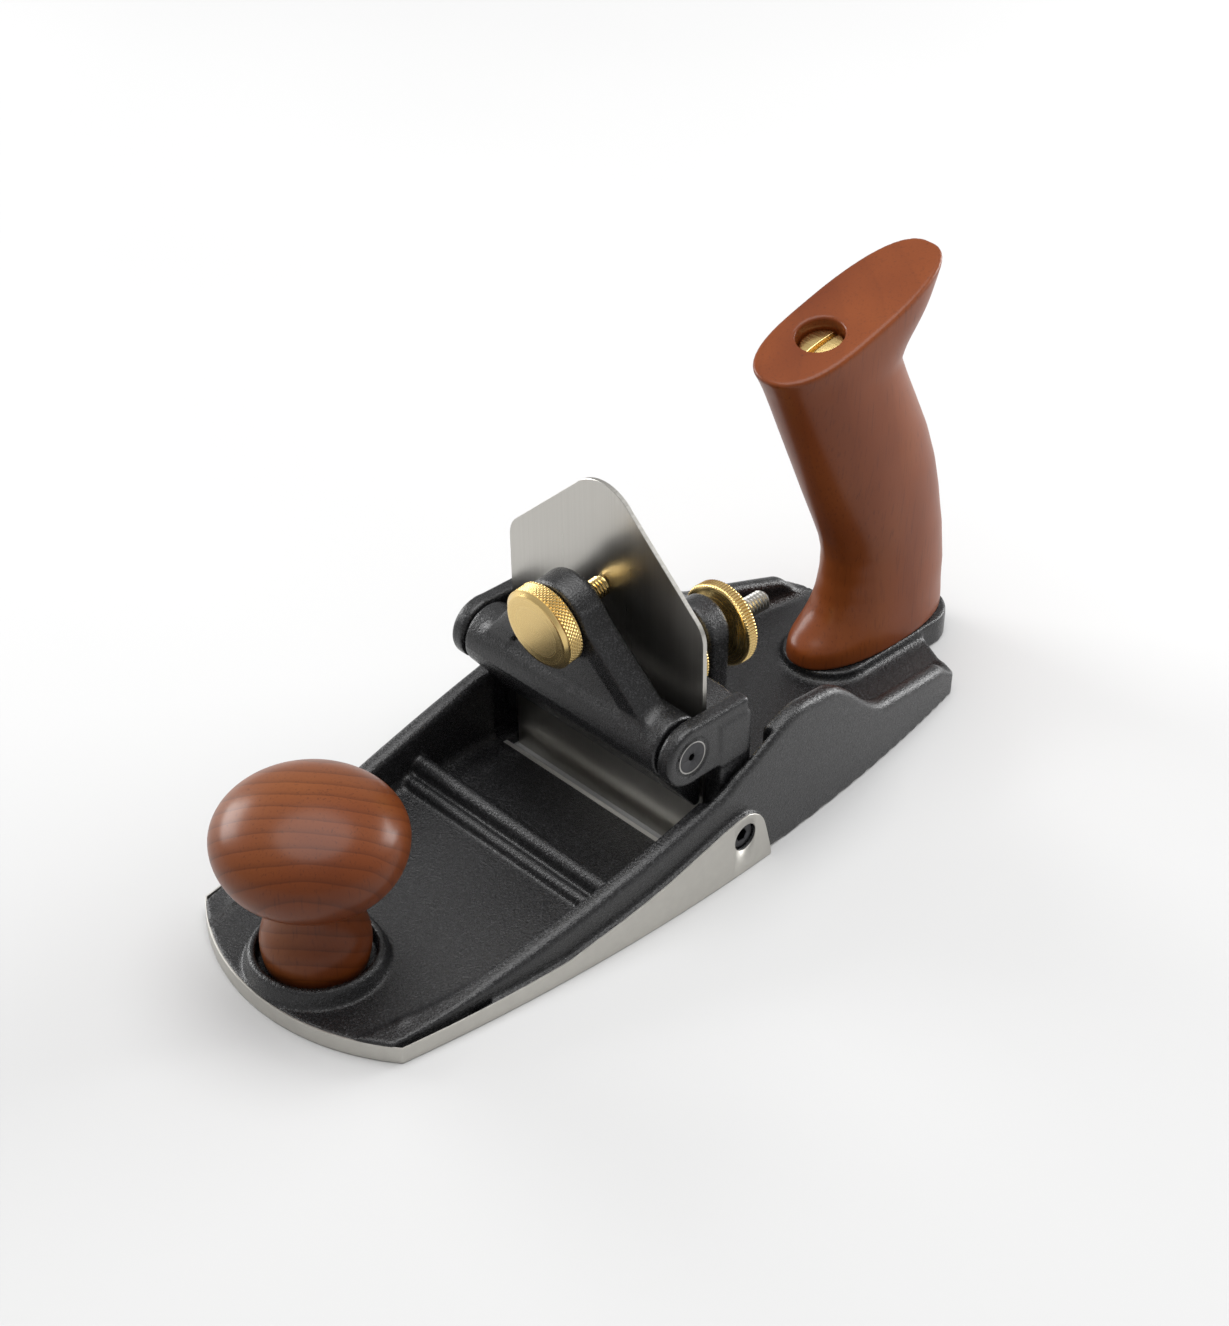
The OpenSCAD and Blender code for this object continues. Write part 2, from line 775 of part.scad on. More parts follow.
module facet_section() {
    rise = atan2(facet_rear_z - facet_front_z, facet_rear_d - facet_front_d);
    half_len = norm([facet_rear_d - facet_front_d, facet_rear_z - facet_front_z]) / 2;
    translate([-(facet_front_d + facet_rear_d) / 2, 0, (facet_front_z + facet_rear_z) / 2])
        rotate([0, rise, 0])
            scale([half_len, facet_half_w, 1])
                translate([0, 0, -0.2]) cylinder(r = 1, h = 0.2, $fn = 32);
}

module rear_handle() {
    color([0.5, 0.25, 0.15]) from_toe() difference() {
        union() {
            for (i = [0:len(grip_levels) - 2])
                hull() {
                    grip_section(grip_levels[i]);
                    grip_section(grip_levels[i + 1]);
                }
            hull() {
                grip_section(grip_levels[len(grip_levels) - 1]);
                facet_section();
            }
        }
        // Hole of the bolt, seat of the nut and recess in the top
        along_bolt() {
            translate([0, 0, -5]) cylinder(r = stud_r + clear, h = bolt_len);
            translate([0, 0, bolt_len - handle_recess_depth - handle_nut_len])
                cylinder(r = handle_nut_r + 0.1, h = 40);
            translate([0, 0, bolt_len - handle_recess_depth])
                cylinder(r = handle_recess_r, h = 40);
        }
        translate([-dowel_d, 0, 0]) cylinder(r = dowel_r + fit, h = handle_z + 6);
    }
}

module handle_washer() {
    color([0.5, 0.5, 0.51]) from_toe() along_bolt()
        translate([0, 0, bolt_len - handle_recess_depth - handle_nut_len]) difference() {
            cylinder(r = handle_nut_r - 0.1, h = washer_t);
            translate([0, 0, -1]) cylinder(r = stud_r + 0.2, h = 10);
        }
}

module handle_nut() {
    color([0.86, 0.7, 0.38]) from_toe() along_bolt()
        translate([0, 0, bolt_len - handle_recess_depth - handle_nut_len + washer_t])
            difference() {
                cylinder(r = handle_nut_r, h = handle_nut_len - washer_t + 1.2);
                translate([0, 0, -1]) cylinder(r = stud_r + fit, h = 8.6);
                translate([-10, -0.8, handle_nut_len - washer_t - 1]) cube([20, 1.6, 5]);
            }
}

body();
frog_pivot_screws();
knob_stud();
handle_bolt();
handle_dowel();
frog();
cap_pivot_screws();
rod_pin();
blade();
lever_cap();
cap_screw();
cap_knob();
adjust_rod();
rear_nut();
front_nut();
bow_screw();
bow_knob();
front_knob();
knob_insert();
rear_handle();
handle_washer();
handle_nut();
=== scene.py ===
import json
import math

import bmesh
import bpy
import numpy as np
from mathutils import Matrix, Vector


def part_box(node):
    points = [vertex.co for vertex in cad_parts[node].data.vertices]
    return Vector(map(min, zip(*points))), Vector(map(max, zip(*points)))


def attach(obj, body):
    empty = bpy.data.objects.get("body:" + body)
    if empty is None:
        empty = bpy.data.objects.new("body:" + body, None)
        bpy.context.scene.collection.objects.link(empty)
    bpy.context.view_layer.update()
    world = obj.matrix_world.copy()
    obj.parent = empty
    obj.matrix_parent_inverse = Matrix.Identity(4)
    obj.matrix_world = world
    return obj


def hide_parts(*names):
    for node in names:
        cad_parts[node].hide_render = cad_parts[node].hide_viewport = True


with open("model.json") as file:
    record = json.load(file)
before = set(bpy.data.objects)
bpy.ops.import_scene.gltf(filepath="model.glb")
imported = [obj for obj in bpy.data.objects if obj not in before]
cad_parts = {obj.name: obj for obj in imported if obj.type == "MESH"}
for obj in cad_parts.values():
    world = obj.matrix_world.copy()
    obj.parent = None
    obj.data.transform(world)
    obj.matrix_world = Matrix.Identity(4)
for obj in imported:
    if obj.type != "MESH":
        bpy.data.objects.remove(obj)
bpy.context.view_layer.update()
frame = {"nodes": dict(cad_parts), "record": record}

# Shapes are worked out in millimetres behind the toe corners (x = 0 at the corners,
# negative towards the heel), as in part.scad, and moved into the frame at the end.
TONGUE_D = 248.0
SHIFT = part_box("body")[0][0] * 1000 + TONGUE_D


def to_frame(p):
    p = np.asarray(p, float)
    return (p + np.array([SHIFT, 0, 0])) / 1000


# ---------------------------------------------------------------- meshes

def grid(full):
    return full


def make_object(name, verts, faces, mat, angle=None):
    """A smooth-shaded object; edges sharper than angle, in degrees, stay crisp."""
    mesh = bpy.data.meshes.new(name)
    mesh.from_pydata([tuple(v) for v in to_frame(verts)], [], [tuple(f) for f in faces])
    mesh.update()
    obj = bpy.data.objects.new(name, mesh)
    bpy.context.collection.objects.link(obj)
    mesh.materials.append(mat)
    mesh.shade_smooth()
    if angle:
        mesh.set_sharp_from_angle(angle=math.radians(angle))
    return obj


def place(obj, body, nodes):
    """Rides obj on a body and lets it stand in for the listed CAD nodes."""
    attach(obj, body)
    if nodes:
        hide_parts(*nodes)


def face_outwards(obj):
    bm = bmesh.new()
    bm.from_mesh(obj.data)
    bmesh.ops.recalc_face_normals(bm, faces=bm.faces)
    bm.to_mesh(obj.data)
    bm.free()


def ring_faces(rings, segments):
    """Quads between the rings of a stack of closed rings, segments vertices each."""
    faces = []
    for i in range(rings - 1):
        low, high = i * segments, (i + 1) * segments
        for k in range(segments):
            k2 = (k + 1) % segments
            faces.append((low + k, low + k2, high + k2, high + k))
    return faces


def cap_faces(last_ring, base, segments):
    """Triangle fans that close the first and last ring on the two vertices at base."""
    faces = []
    for k in range(segments):
        k2 = (k + 1) % segments
        faces.append((base, k2, k))
        faces.append((base + 1, last_ring + k, last_ring + k2))
    return faces


# Smooth minimum and maximum of two distances: k is about the size of the fillet
def smin(a, b, k):
    h = np.clip(0.5 + 0.5 * (b - a) / k, 0, 1)
    return b * (1 - h) + a * h - k * h * (1 - h)


def smax(a, b, k):
    return -smin(-a, -b, k)


def ease(a, b, v):
    """0 up to a, 1 from b, smooth between."""
    t = np.clip((v - a) / (b - a), 0, 1)
    return t * t * (3 - 2 * t)


def surface_nets(f, lo, hi, h):
    """Vertices and quads of the zero surface of f(x, y, z), on a grid of step h."""
    n = [int(math.ceil((b - a) / h)) + 2 for a, b in zip(lo, hi)]
    axes = [a - h * 0.5 + h * np.arange(m + 1) for a, m in zip(lo, n)]
    values = np.empty([len(a) for a in axes], np.float32)
    gy, gz = np.meshgrid(axes[1], axes[2], indexing="ij")
    layers = 16
    for i in range(0, len(axes[0]), layers):
        xs = axes[0][i:i + layers, None, None]
        values[i:i + layers] = f(*np.broadcast_arrays(xs, gy[None], gz[None]))
    inside = values < 0
    corners = [(a, b, c) for a in (0, 1) for b in (0, 1) for c in (0, 1)]
    size = [s - 1 for s in values.shape]

    def part(arr, o):
        return arr[o[0]:o[0] + size[0], o[1]:o[1] + size[1], o[2]:o[2] + size[2]]

    # A cell gets a vertex where some of its corners are inside: the mean of its edge crossings
    count = sum(part(inside, o).astype(np.int8) for o in corners)
    cells = np.argwhere((count > 0) & (count < 8))
    index = -np.ones(size, np.int64)
    index[tuple(cells.T)] = np.arange(len(cells))
    total = np.zeros((len(cells), 3))
    hits = np.zeros(len(cells))
    for axis in range(3):
        for a in (0, 1):
            for b in (0, 1):
                o = [a, b]
                o.insert(axis, 0)
                q = list(o)
                q[axis] = 1
                v0 = values[tuple((cells + o).T)].astype(float)
                v1 = values[tuple((cells + q).T)].astype(float)
                cross = (v0 < 0) != (v1 < 0)
                t = np.where(cross, v0 / np.where(cross, v0 - v1, 1), 0)
                p = np.tile(np.array(o, float), (len(cells), 1))
                p[:, axis] = t
                total += p * cross[:, None]
                hits += cross
    verts = np.array([a[0] for a in axes]) + h * (cells + total / hits[:, None])
    # A crossed grid edge gets a quad between the four cells round it
    faces = []
    for axis in range(3):
        u, v = [(1, 2), (2, 0), (0, 1)][axis]
        near = [slice(1, -1)] * 3
        far = [slice(1, -1)] * 3
        near[axis] = slice(0, -1)
        far[axis] = slice(1, None)
        a = inside[tuple(near)]
        b = inside[tuple(far)]
        for flip, mask in ((False, a & ~b), (True, ~a & b)):
            e = np.argwhere(mask)
            if not len(e):
                continue
            e = e + 1
            e[:, axis] -= 1
            quad = []
            for du, dv in ((1, 1), (0, 1), (0, 0), (1, 0)):
                c = e.copy()
                c[:, u] -= du
                c[:, v] -= dv
                quad.append(index[tuple(c.T)])
            quad = np.stack(quad, 1)
            faces.append(quad[:, ::-1] if flip else quad)
    faces = np.concatenate(faces)
    # Two Newton steps put the vertices on the surface
    eps, least_slope, longest = 0.02, 0.2, 0.45 * h
    for _ in range(2):
        x, y, z = verts.T
        v = f(x, y, z)
        g = np.stack([f(x + eps, y, z) - v, f(x, y + eps, z) - v, f(x, y, z + eps) - v], 1) / eps
        step = -v[:, None] * g / np.maximum((g ** 2).sum(1), least_slope)[:, None]
        length = np.linalg.norm(step, axis=1)
        step *= np.minimum(1, longest / np.maximum(length, 1e-9))[:, None]
        verts = verts + step
    return verts, faces


def field_object(name, f, lo, hi, h, mat):
    verts, faces = surface_nets(f, lo, hi, h)
    return make_object(name, verts, faces, mat)


def turned(profile, segments=96, shape=None, bored=False):
    """Closed solid turned about +Z from (radius, height) points.

    shape(r, angle, i) varies the radius; bored joins the last point to the first.
    """
    verts = []
    rings = len(profile)
    for i, (r, z) in enumerate(profile):
        for k in range(segments):
            a = 2 * math.pi * k / segments
            rr = shape(r, a, i) if shape else r
            verts.append((rr * math.cos(a), rr * math.sin(a), z))
    faces = ring_faces(rings, segments)
    last = (rings - 1) * segments
    if bored:
        faces += [(last + k, last + (k + 1) % segments, (k + 1) % segments, k) for k in range(segments)]
        return np.array(verts), faces
    base = len(verts)
    verts += [(0, 0, profile[0][1]), (0, 0, profile[-1][1])]
    return np.array(verts), faces + cap_faces(last, base, segments)


def aim(verts, origin, axis):
    """Turns a solid made about +Z so that +Z runs along axis, and moves it to origin."""
    q = Vector((0, 0, 1)).rotation_difference(Vector(axis).normalized()).to_matrix()
    return np.asarray(verts) @ np.array(q).T + np.array(origin)


def round_profile(points, radius, steps=4):
    """Rounds the inner corners of an open profile."""
    out = [points[0]]
    for p0, p1, p2 in zip(points, points[1:], points[2:]):
        a, b, c = (np.array(p, float) for p in (p0, p1, p2))
        d0, d1 = np.linalg.norm(a - b), np.linalg.norm(c - b)
        r = min(radius, 0.45 * d0, 0.45 * d1)
        s, e = b + (a - b) / d0 * r, b + (c - b) / d1 * r
        for i in range(steps + 1):
            t = i / steps
            out.append(tuple((1 - t) ** 2 * s + 2 * t * (1 - t) * b + t * t * e))
    out.append(points[-1])
    return out


# ---------------------------------------------------------------- driving sizes

# Sole in plan: a long arc for each side and one for the toe
SOLE_HALF, SIDE_R, WIDEST = 47.5, 600.0, 97.0
TOE_BULGE = 14.0
CORNER = SOLE_HALF - SIDE_R + math.sqrt(SIDE_R ** 2 - WIDEST ** 2)
TOE_R = (CORNER ** 2 + TOE_BULGE ** 2) / (2 * TOE_BULGE)
TOE_CENTRE = TOE_BULGE - TOE_R
# Frog's pivot, blade, adjusting rod and post
PIVOT = (-114.7, 12.3)
LEAN, EDGE_X, BLADE_T = math.radians(2.5), -109.6, 1.4
ROD_X, ROD_Z, ROD_END = -123.0, 40.0, 170.7
POST_X, POST_HALF = -143.4, 4.1
BOW_Z, BOW_TIP, BOW_HEAD = 20.5, -109.9, -124.5
# Lever cap: its hinge, its lean and the height of the screw's boss above the hinge
CAP_X, CAP_Z, CAP_RISE, CAP_LEAN = -98.2, 45.0, 28.2, math.radians(9.0)
cap_c, cap_s = math.cos(CAP_LEAN), math.sin(CAP_LEAN)
cap_axis = (cap_c, 0, -cap_s)
cap_centre = np.array([CAP_X + CAP_RISE * cap_s, 0, CAP_Z + CAP_RISE * cap_c])

# ---------------------------------------------------------------- materials


def shade(colour, k):
    return tuple(k * c for c in colour)


class Nodes:
    """Builds a Principled material from object coordinates, which are in metres."""

    def __init__(self, name):
        self.mat = bpy.data.materials.new(name)
        self.mat.use_nodes = True
        self.tree = self.mat.node_tree
        self.tree.nodes.clear()
        out = self.add("ShaderNodeOutputMaterial")
        self.bsdf = self.add("ShaderNodeBsdfPrincipled")
        self.link(self.bsdf.outputs[0], out.inputs[0])
        self.coord = self.add("ShaderNodeTexCoord").outputs["Object"]

    def add(self, kind, **props):
        node = self.tree.nodes.new(kind)
        for key, value in props.items():
            setattr(node, key, value)
        return node

    def link(self, a, b):
        self.tree.links.new(a, b)

    def feed(self, sock, value):
        """Puts a number, a colour or another node's output into a socket."""
        if isinstance(value, (int, float)):
            sock.default_value = value
        elif isinstance(value, tuple):
            sock.default_value = (*value, 1)
        else:
            self.link(value, sock)

    def set(self, **values):
        for key, value in values.items():
            self.feed(self.bsdf.inputs[key.replace("_", " ")], value)

    def mapped(self, scale=(1, 1, 1), rotation=(0, 0, 0), location=(0, 0, 0)):
        m = self.add("ShaderNodeMapping")
        m.inputs["Scale"].default_value = scale
        m.inputs["Rotation"].default_value = rotation
        m.inputs["Location"].default_value = location
        self.link(self.coord, m.inputs["Vector"])
        return m.outputs[0]

    def noise(self, scale, detail=2.0, rough=0.5, vector=None):
        n = self.add("ShaderNodeTexNoise")
        n.inputs["Scale"].default_value = scale
        n.inputs["Detail"].default_value = detail
        n.inputs["Roughness"].default_value = rough
        self.link(vector or self.coord, n.inputs["Vector"])
        return n.outputs["Fac"]

    def ramp(self, value, stops):
        r = self.add("ShaderNodeValToRGB")
        points = r.color_ramp.elements
        points.remove(points[-1])
        for i, (position, colour) in enumerate(stops):
            point = points[0] if i == 0 else points.new(position)
            point.position = position
            point.color = (colour,) * 3 + (1,) if isinstance(colour, (int, float)) else (*colour, 1)
        self.link(value, r.inputs[0])
        return r.outputs[0]

    def math(self, op, *values):
        m = self.add("ShaderNodeMath", operation=op)
        for sock, value in zip(m.inputs, values):
            self.feed(sock, value)
        return m.outputs[0]

    def mix(self, fac, a, b):
        m = self.add("ShaderNodeMix", data_type="RGBA")
        for i, value in ((0, fac), (6, a), (7, b)):
            self.feed(m.inputs[i], value)
        return m.outputs[2]

    def bump(self, height, strength, distance):
        b = self.add("ShaderNodeBump")
        b.inputs["Strength"].default_value = strength
        b.inputs["Distance"].default_value = distance
        self.link(height, b.inputs["Height"])
        return b.outputs[0]

    def edges(self, low, high):
        """0 in grooves and 1 on flats and ridges: where painted shade darkens the grooves."""
        g = self.add("ShaderNodeNewGeometry")
        return self.ramp(g.outputs["Pointiness"], [(low, 0.0), (high, 1.0)])

    def split(self, vector):
        sep = self.add("ShaderNodeSeparateXYZ")
        self.link(vector, sep.inputs[0])
        return sep.outputs

    def off_axis(self, x, y):
        return self.math("SQRT", self.math("ADD", self.math("POWER", x, 2.0), self.math("POWER", y, 2.0)))


def paint_material(name, grain, strength, rough, bare_below=None):
    """Black textured paint with sandy grains, their tops painted lighter as glints, and bare metal below a
    height.
    """
    base = (0.0075, 0.0075, 0.008)
    n = Nodes(name)
    grains = n.noise(grain, 3.0, 0.6)
    fine = n.noise(grain * 2.6, 2.0, 0.5)
    broad = n.noise(28, 3.0, 0.5)
    height = n.math("ADD", grains, n.math("MULTIPLY", fine, 0.45))
    patchy = n.mix(n.ramp(broad, [(0.3, 0.0), (0.7, 1.0)]), shade(base, 0.86), shade(base, 1.14))
    # Painted glints: the grain tops are coloured four times lighter than the paint, standing in for light
    # caught by the sand
    colour = n.mix(n.ramp(grains, [(0.52, 0.0), (0.64, 0.9)]), patchy, shade(base, 4.0))
    roughness = n.ramp(fine, [(0.3, rough - 0.08), (0.7, rough + 0.1)])
    n.set(Base_Color=colour, Roughness=roughness, Normal=n.bump(height, strength, 0.0004))
    n.set(Specular_IOR_Level=0.5)
    if bare_below is not None:
        under = n.math("LESS_THAN", n.split(n.coord)[2], bare_below)
        scratch = n.noise(1.0, 4.0, 0.6, n.mapped((60, 2600, 60)))
        metal = n.ramp(scratch, [(0.3, (0.42, 0.41, 0.39)), (0.7, (0.6, 0.59, 0.56))])
        painted = n.math("MULTIPLY", roughness, n.math("SUBTRACT", 1.0, under))
        n.set(Base_Color=n.mix(under, colour, metal), Metallic=under,
              Roughness=n.math("MAXIMUM", n.math("MULTIPLY", under, 0.36), painted))
    return n.mat


def metal_material(name, low, high, scale, rough, strength, anisotropic=0.0):
    """Ground metal: fine lines between two colours, drawn out by the unequal scale."""
    n = Nodes(name)
    lines = n.noise(1.0, 5.0, 0.6, n.mapped(scale))
    blotch = n.noise(38, 3.0, 0.5)
    colour = n.mix(n.ramp(blotch, [(0.3, 0.0), (0.75, 0.3)]),
                   n.ramp(lines, [(0.3, low), (0.7, high)]), shade(low, 0.92))
    roughness = n.math("ADD", n.ramp(lines, [(0.3, rough - 0.03), (0.7, rough + 0.04)]),
                       n.math("MULTIPLY", blotch, 0.05))
    n.set(Base_Color=colour, Roughness=roughness, Metallic=1.0, Anisotropic=anisotropic,
          Normal=n.bump(lines, strength, 0.00004))
    return n.mat


def brass_material(name, centre, axis, strength):
    """Lathe-turned brass: fine rings round an axis, with painted shade in the grooves of a knurl or thread.
    """
    low, high = (0.74, 0.52, 0.2), (0.84, 0.63, 0.28)
    pitch, rough = 0.0003, 0.22
    n = Nodes(name)
    moved = n.add("ShaderNodeVectorMath", operation="SUBTRACT")
    n.link(n.coord, moved.inputs[0])
    moved.inputs[1].default_value = tuple(to_frame(centre))
    turn = n.add("ShaderNodeMapping")
    turn.inputs["Rotation"].default_value = Vector(axis).rotation_difference(Vector((0, 0, 1))).to_euler()
    n.link(moved.outputs[0], turn.inputs["Vector"])
    x, y, z = n.split(turn.outputs[0])
    comb = n.add("ShaderNodeCombineXYZ")
    n.link(n.math("MULTIPLY", n.off_axis(x, y), 1.0 / pitch), comb.inputs[0])
    n.link(n.math("MULTIPLY", z, 0.5 / pitch), comb.inputs[1])
    rings = n.noise(1.0, 3.0, 0.6, comb.outputs[0])
    blotch = n.noise(60, 3.0, 0.5)
    colour = n.mix(n.ramp(blotch, [(0.4, 0.0), (0.8, 0.25)]), n.ramp(rings, [(0.3, low), (0.7, high)]),
                   shade(low, 0.9))
    # Painted shade: the brass is darkened to 0.28 of its colour in the grooves of knurls and threads
    n.set(Base_Color=n.mix(n.edges(0.38, 0.49), shade(low, 0.28), colour), Metallic=1.0,
          Roughness=n.math("ADD", n.ramp(rings, [(0.3, rough - 0.04), (0.7, rough + 0.05)]),
                           n.math("MULTIPLY", blotch, 0.04)),
          Normal=n.bump(rings, strength, 0.00001))
    return n.mat


def wood_material(name, turn, heart, rings_per_metre, tint, lines):
    """Oiled red-brown hardwood: growth lines round a far heart, pores along the grain."""
    n = Nodes(name)
    sway = n.noise(24, 3.0, 0.5, n.mapped((1, 1, 0.08), turn, heart))
    x, y, _ = n.split(n.mapped((1, 1, 1), turn, heart))
    radius = n.math("ADD", n.off_axis(x, y), n.math("MULTIPLY", sway, 0.006))
    saw = n.math("FRACT", n.math("MULTIPLY", radius, rings_per_metre))
    ring = n.ramp(saw, [(0.0, 0.1), (0.6, 0.25), (0.86, 0.7), (0.93, 1.0), (1.0, 0.1)])
    pores = n.noise(1.0, 3.0, 0.6, n.mapped((1500, 1500, 60), turn, heart))
    cloud = n.noise(16, 3.0, 0.55, n.mapped((1, 1, 0.5), turn, heart))
    base = n.ramp(cloud, [(0.25, shade((0.18, 0.034, 0.006), tint)), (0.5, shade((0.29, 0.068, 0.014), tint)),
                          (0.78, shade((0.4, 0.125, 0.034), tint))])
    lined = n.mix(n.math("MULTIPLY", ring, lines), base, shade((0.045, 0.008, 0.003), tint))
    colour = n.mix(n.ramp(pores, [(0.56, 0.0), (0.74, 0.45)]), lined, shade((0.06, 0.018, 0.008), tint))
    n.set(Base_Color=colour, Roughness=n.ramp(cloud, [(0.2, 0.5), (0.8, 0.4)]), Specular_IOR_Level=0.1,
          Normal=n.bump(pores, 0.05, 0.0001), Coat_Weight=0.4, Coat_Roughness=0.24, Coat_IOR=1.42)
    return n.mat


GROUND_LOW, EVEN = (0.5, 0.485, 0.45), (300, 300, 300)
body_paint = paint_material("body_paint", 1400, 0.55, 0.24, bare_below=0.00015)
frog_paint = paint_material("frog_paint", 1700, 0.35, 0.24)
cap_paint = paint_material("cap_paint", 1700, 0.4, 0.22)
ground = metal_material("ground_sole", GROUND_LOW, (0.56, 0.545, 0.505), EVEN, 0.44, 0.012)
blade_steel = metal_material("blade_steel", GROUND_LOW, (0.55, 0.535, 0.5), (40, 2200, 10), 0.28, 0.003, 0.25)
steel = metal_material("steel", (0.4, 0.39, 0.37), (0.52, 0.51, 0.49), EVEN, 0.32, 0.04)
# Near-white metal for the mouth's lip: painted light standing in for the bright floor seen through the mouth
painted_light_lip = metal_material("painted_light_lip", (0.86, 0.85, 0.82), (0.92, 0.91, 0.88), (900, 40, 900), 0.5, 0.01)
dark_steel = metal_material("dark_steel", (0.26, 0.255, 0.24), (0.36, 0.35, 0.33), EVEN, 0.34, 0.04)
black_oxide = metal_material("black_oxide", (0.05, 0.05, 0.052), (0.08, 0.08, 0.085), EVEN, 0.36, 0.04)
brass = brass_material("brass", (-150, 0, ROD_Z), (1, 0, 0), 0.4)
cap_brass = brass_material("cap_brass", cap_centre, cap_axis, 0.5)
knob_wood = wood_material("knob_wood", (math.radians(90), math.radians(45), 0), (-0.03, 0.09, 0),
                          rings_per_metre=250, tint=0.5, lines=0.42)
handle_wood = wood_material("handle_wood", (0, math.radians(-14), 0), (0.05, 0.055, 0.02),
                            rings_per_metre=95, tint=0.66, lines=0.08)

slot_of = {"body_paint": body_paint, "frog_paint": frog_paint, "cap_paint": cap_paint,
           "blade_steel": blade_steel, "brass": brass, "steel": steel, "black_oxide": black_oxide,
           "wood": handle_wood}
slot_by_node = {part["node"]: part["material_slot"] for part in frame["record"]["subparts"]}
for node, obj in frame["nodes"].items():
    for slot in obj.material_slots:
        slot.material = slot_of[slot_by_node[node]]

# ---------------------------------------------------------------- body casting

# The ground side pads stand proud of the painted walls; the band lies on both
PAD_STEP, WALL_T, BAND_T = 1.85, 5.6, 0.25
PAD_REAR, PAD_INNER = 126.2, 42.0
HEEL_D, HEEL_HALF, HEEL_NORMAL = 219.5, 33.2, (0.9022, 0.4314)
TONGUE_R, BOSS_FRONT, BOSS_TOP = 13.4, 200.6, 8.6
TRAY_FLOOR = 5.05
# Steps of the floor: start and end behind the toe corners, rise
FLOOR_STEPS = ((75, 79, -1.9), (103, 105, 0.3), (126.5, 128.5, 2.1))
KNOB_X = -5.5
RING_OUT, RING_IN, RING_TOP, RING_DRAFT = 18.9, 15.7, 10.0, 0.3
SEAT_R, SEAT_Z = 15.2, 5.0
POST_R, POST_TOP = 9.0, 43.0
MOUTH_FRONT, MOUTH_REAR, MOUTH_HALF = 104.8, 116.0, 37.1
BAY_HALF = 42.7
PIVOT_HOLE_R = 4.15
# Top edge of the side pad: x, height
PAD_TOP = np.array([(14.0, 4.95), (-14, 4.9), (-30, 5.2), (-44.5, 5.7), (-52, 6.1), (-61, 8), (-70, 9.5),
                    (-85, 12.6), (-99, 16.4), (-107, 18.4), (-112.6, 19.3), (-115.7, 19.4),
                    (-118.2, 18.4), (-120.6, 16.6), (-122.3, 14.2), (-123.3, 11.1), (-125.6, 3.4),
                    (-126.3, 0.0)])


def side_dist(x, y, inset):
    return np.hypot(x + WIDEST, np.abs(y) + SIDE_R - SOLE_HALF) - (SIDE_R - inset)


def half_width(x):
    return SOLE_HALF - SIDE_R + np.sqrt(SIDE_R ** 2 - (x + WIDEST) ** 2)


def toe_dist(x, y):
    return np.where(x > TOE_CENTRE, np.hypot(x - TOE_CENTRE, y) - TOE_R, -50.0)


def wall_top(x):
    """Height of the side wall: a long rise, a hump beside the post, a fall to the heel."""
    d = np.clip(-x, 0, 400)
    front = 5 + 25 * (np.minimum(d, 113) / 113) ** 1.15
    rear = np.where(d < 185, 30 - 11.5 * (d - 113) / 72, 18.5 - 6.5 * (d - 185) / 30)
    hump = 16 * ease(105, 141, d) * (1 - ease(151, 181, d))
    return np.where(d < 113, front, rear) + hump - 4 * ease(212, 220, d)


def pad_top(x):
    return np.interp(-np.asarray(x), -PAD_TOP[:, 0], PAD_TOP[:, 1])


def capsule(u, v, u0, v0, u1, v1, r):
    """Distance to a thick line in a plane."""
    du, dv = u1 - u0, v1 - v0
    t = np.clip(((u - u0) * du + (v - v0) * dv) / (du * du + dv * dv), 0, 1)
    return np.hypot(u - u0 - t * du, v - v0 - t * dv) - r


def box(x, y, z, x0, x1, y0, y1, z0, z1):
    dx = np.maximum(x0 - x, x - x1)
    dy = np.maximum(y0 - y, y - y1)
    dz = np.maximum(z0 - z, z - z1)
    out = np.sqrt(np.maximum(dx, 0) ** 2 + np.maximum(dy, 0) ** 2 + np.maximum(dz, 0) ** 2)
    return out + np.minimum(np.maximum(dx, np.maximum(dy, dz)), 0)


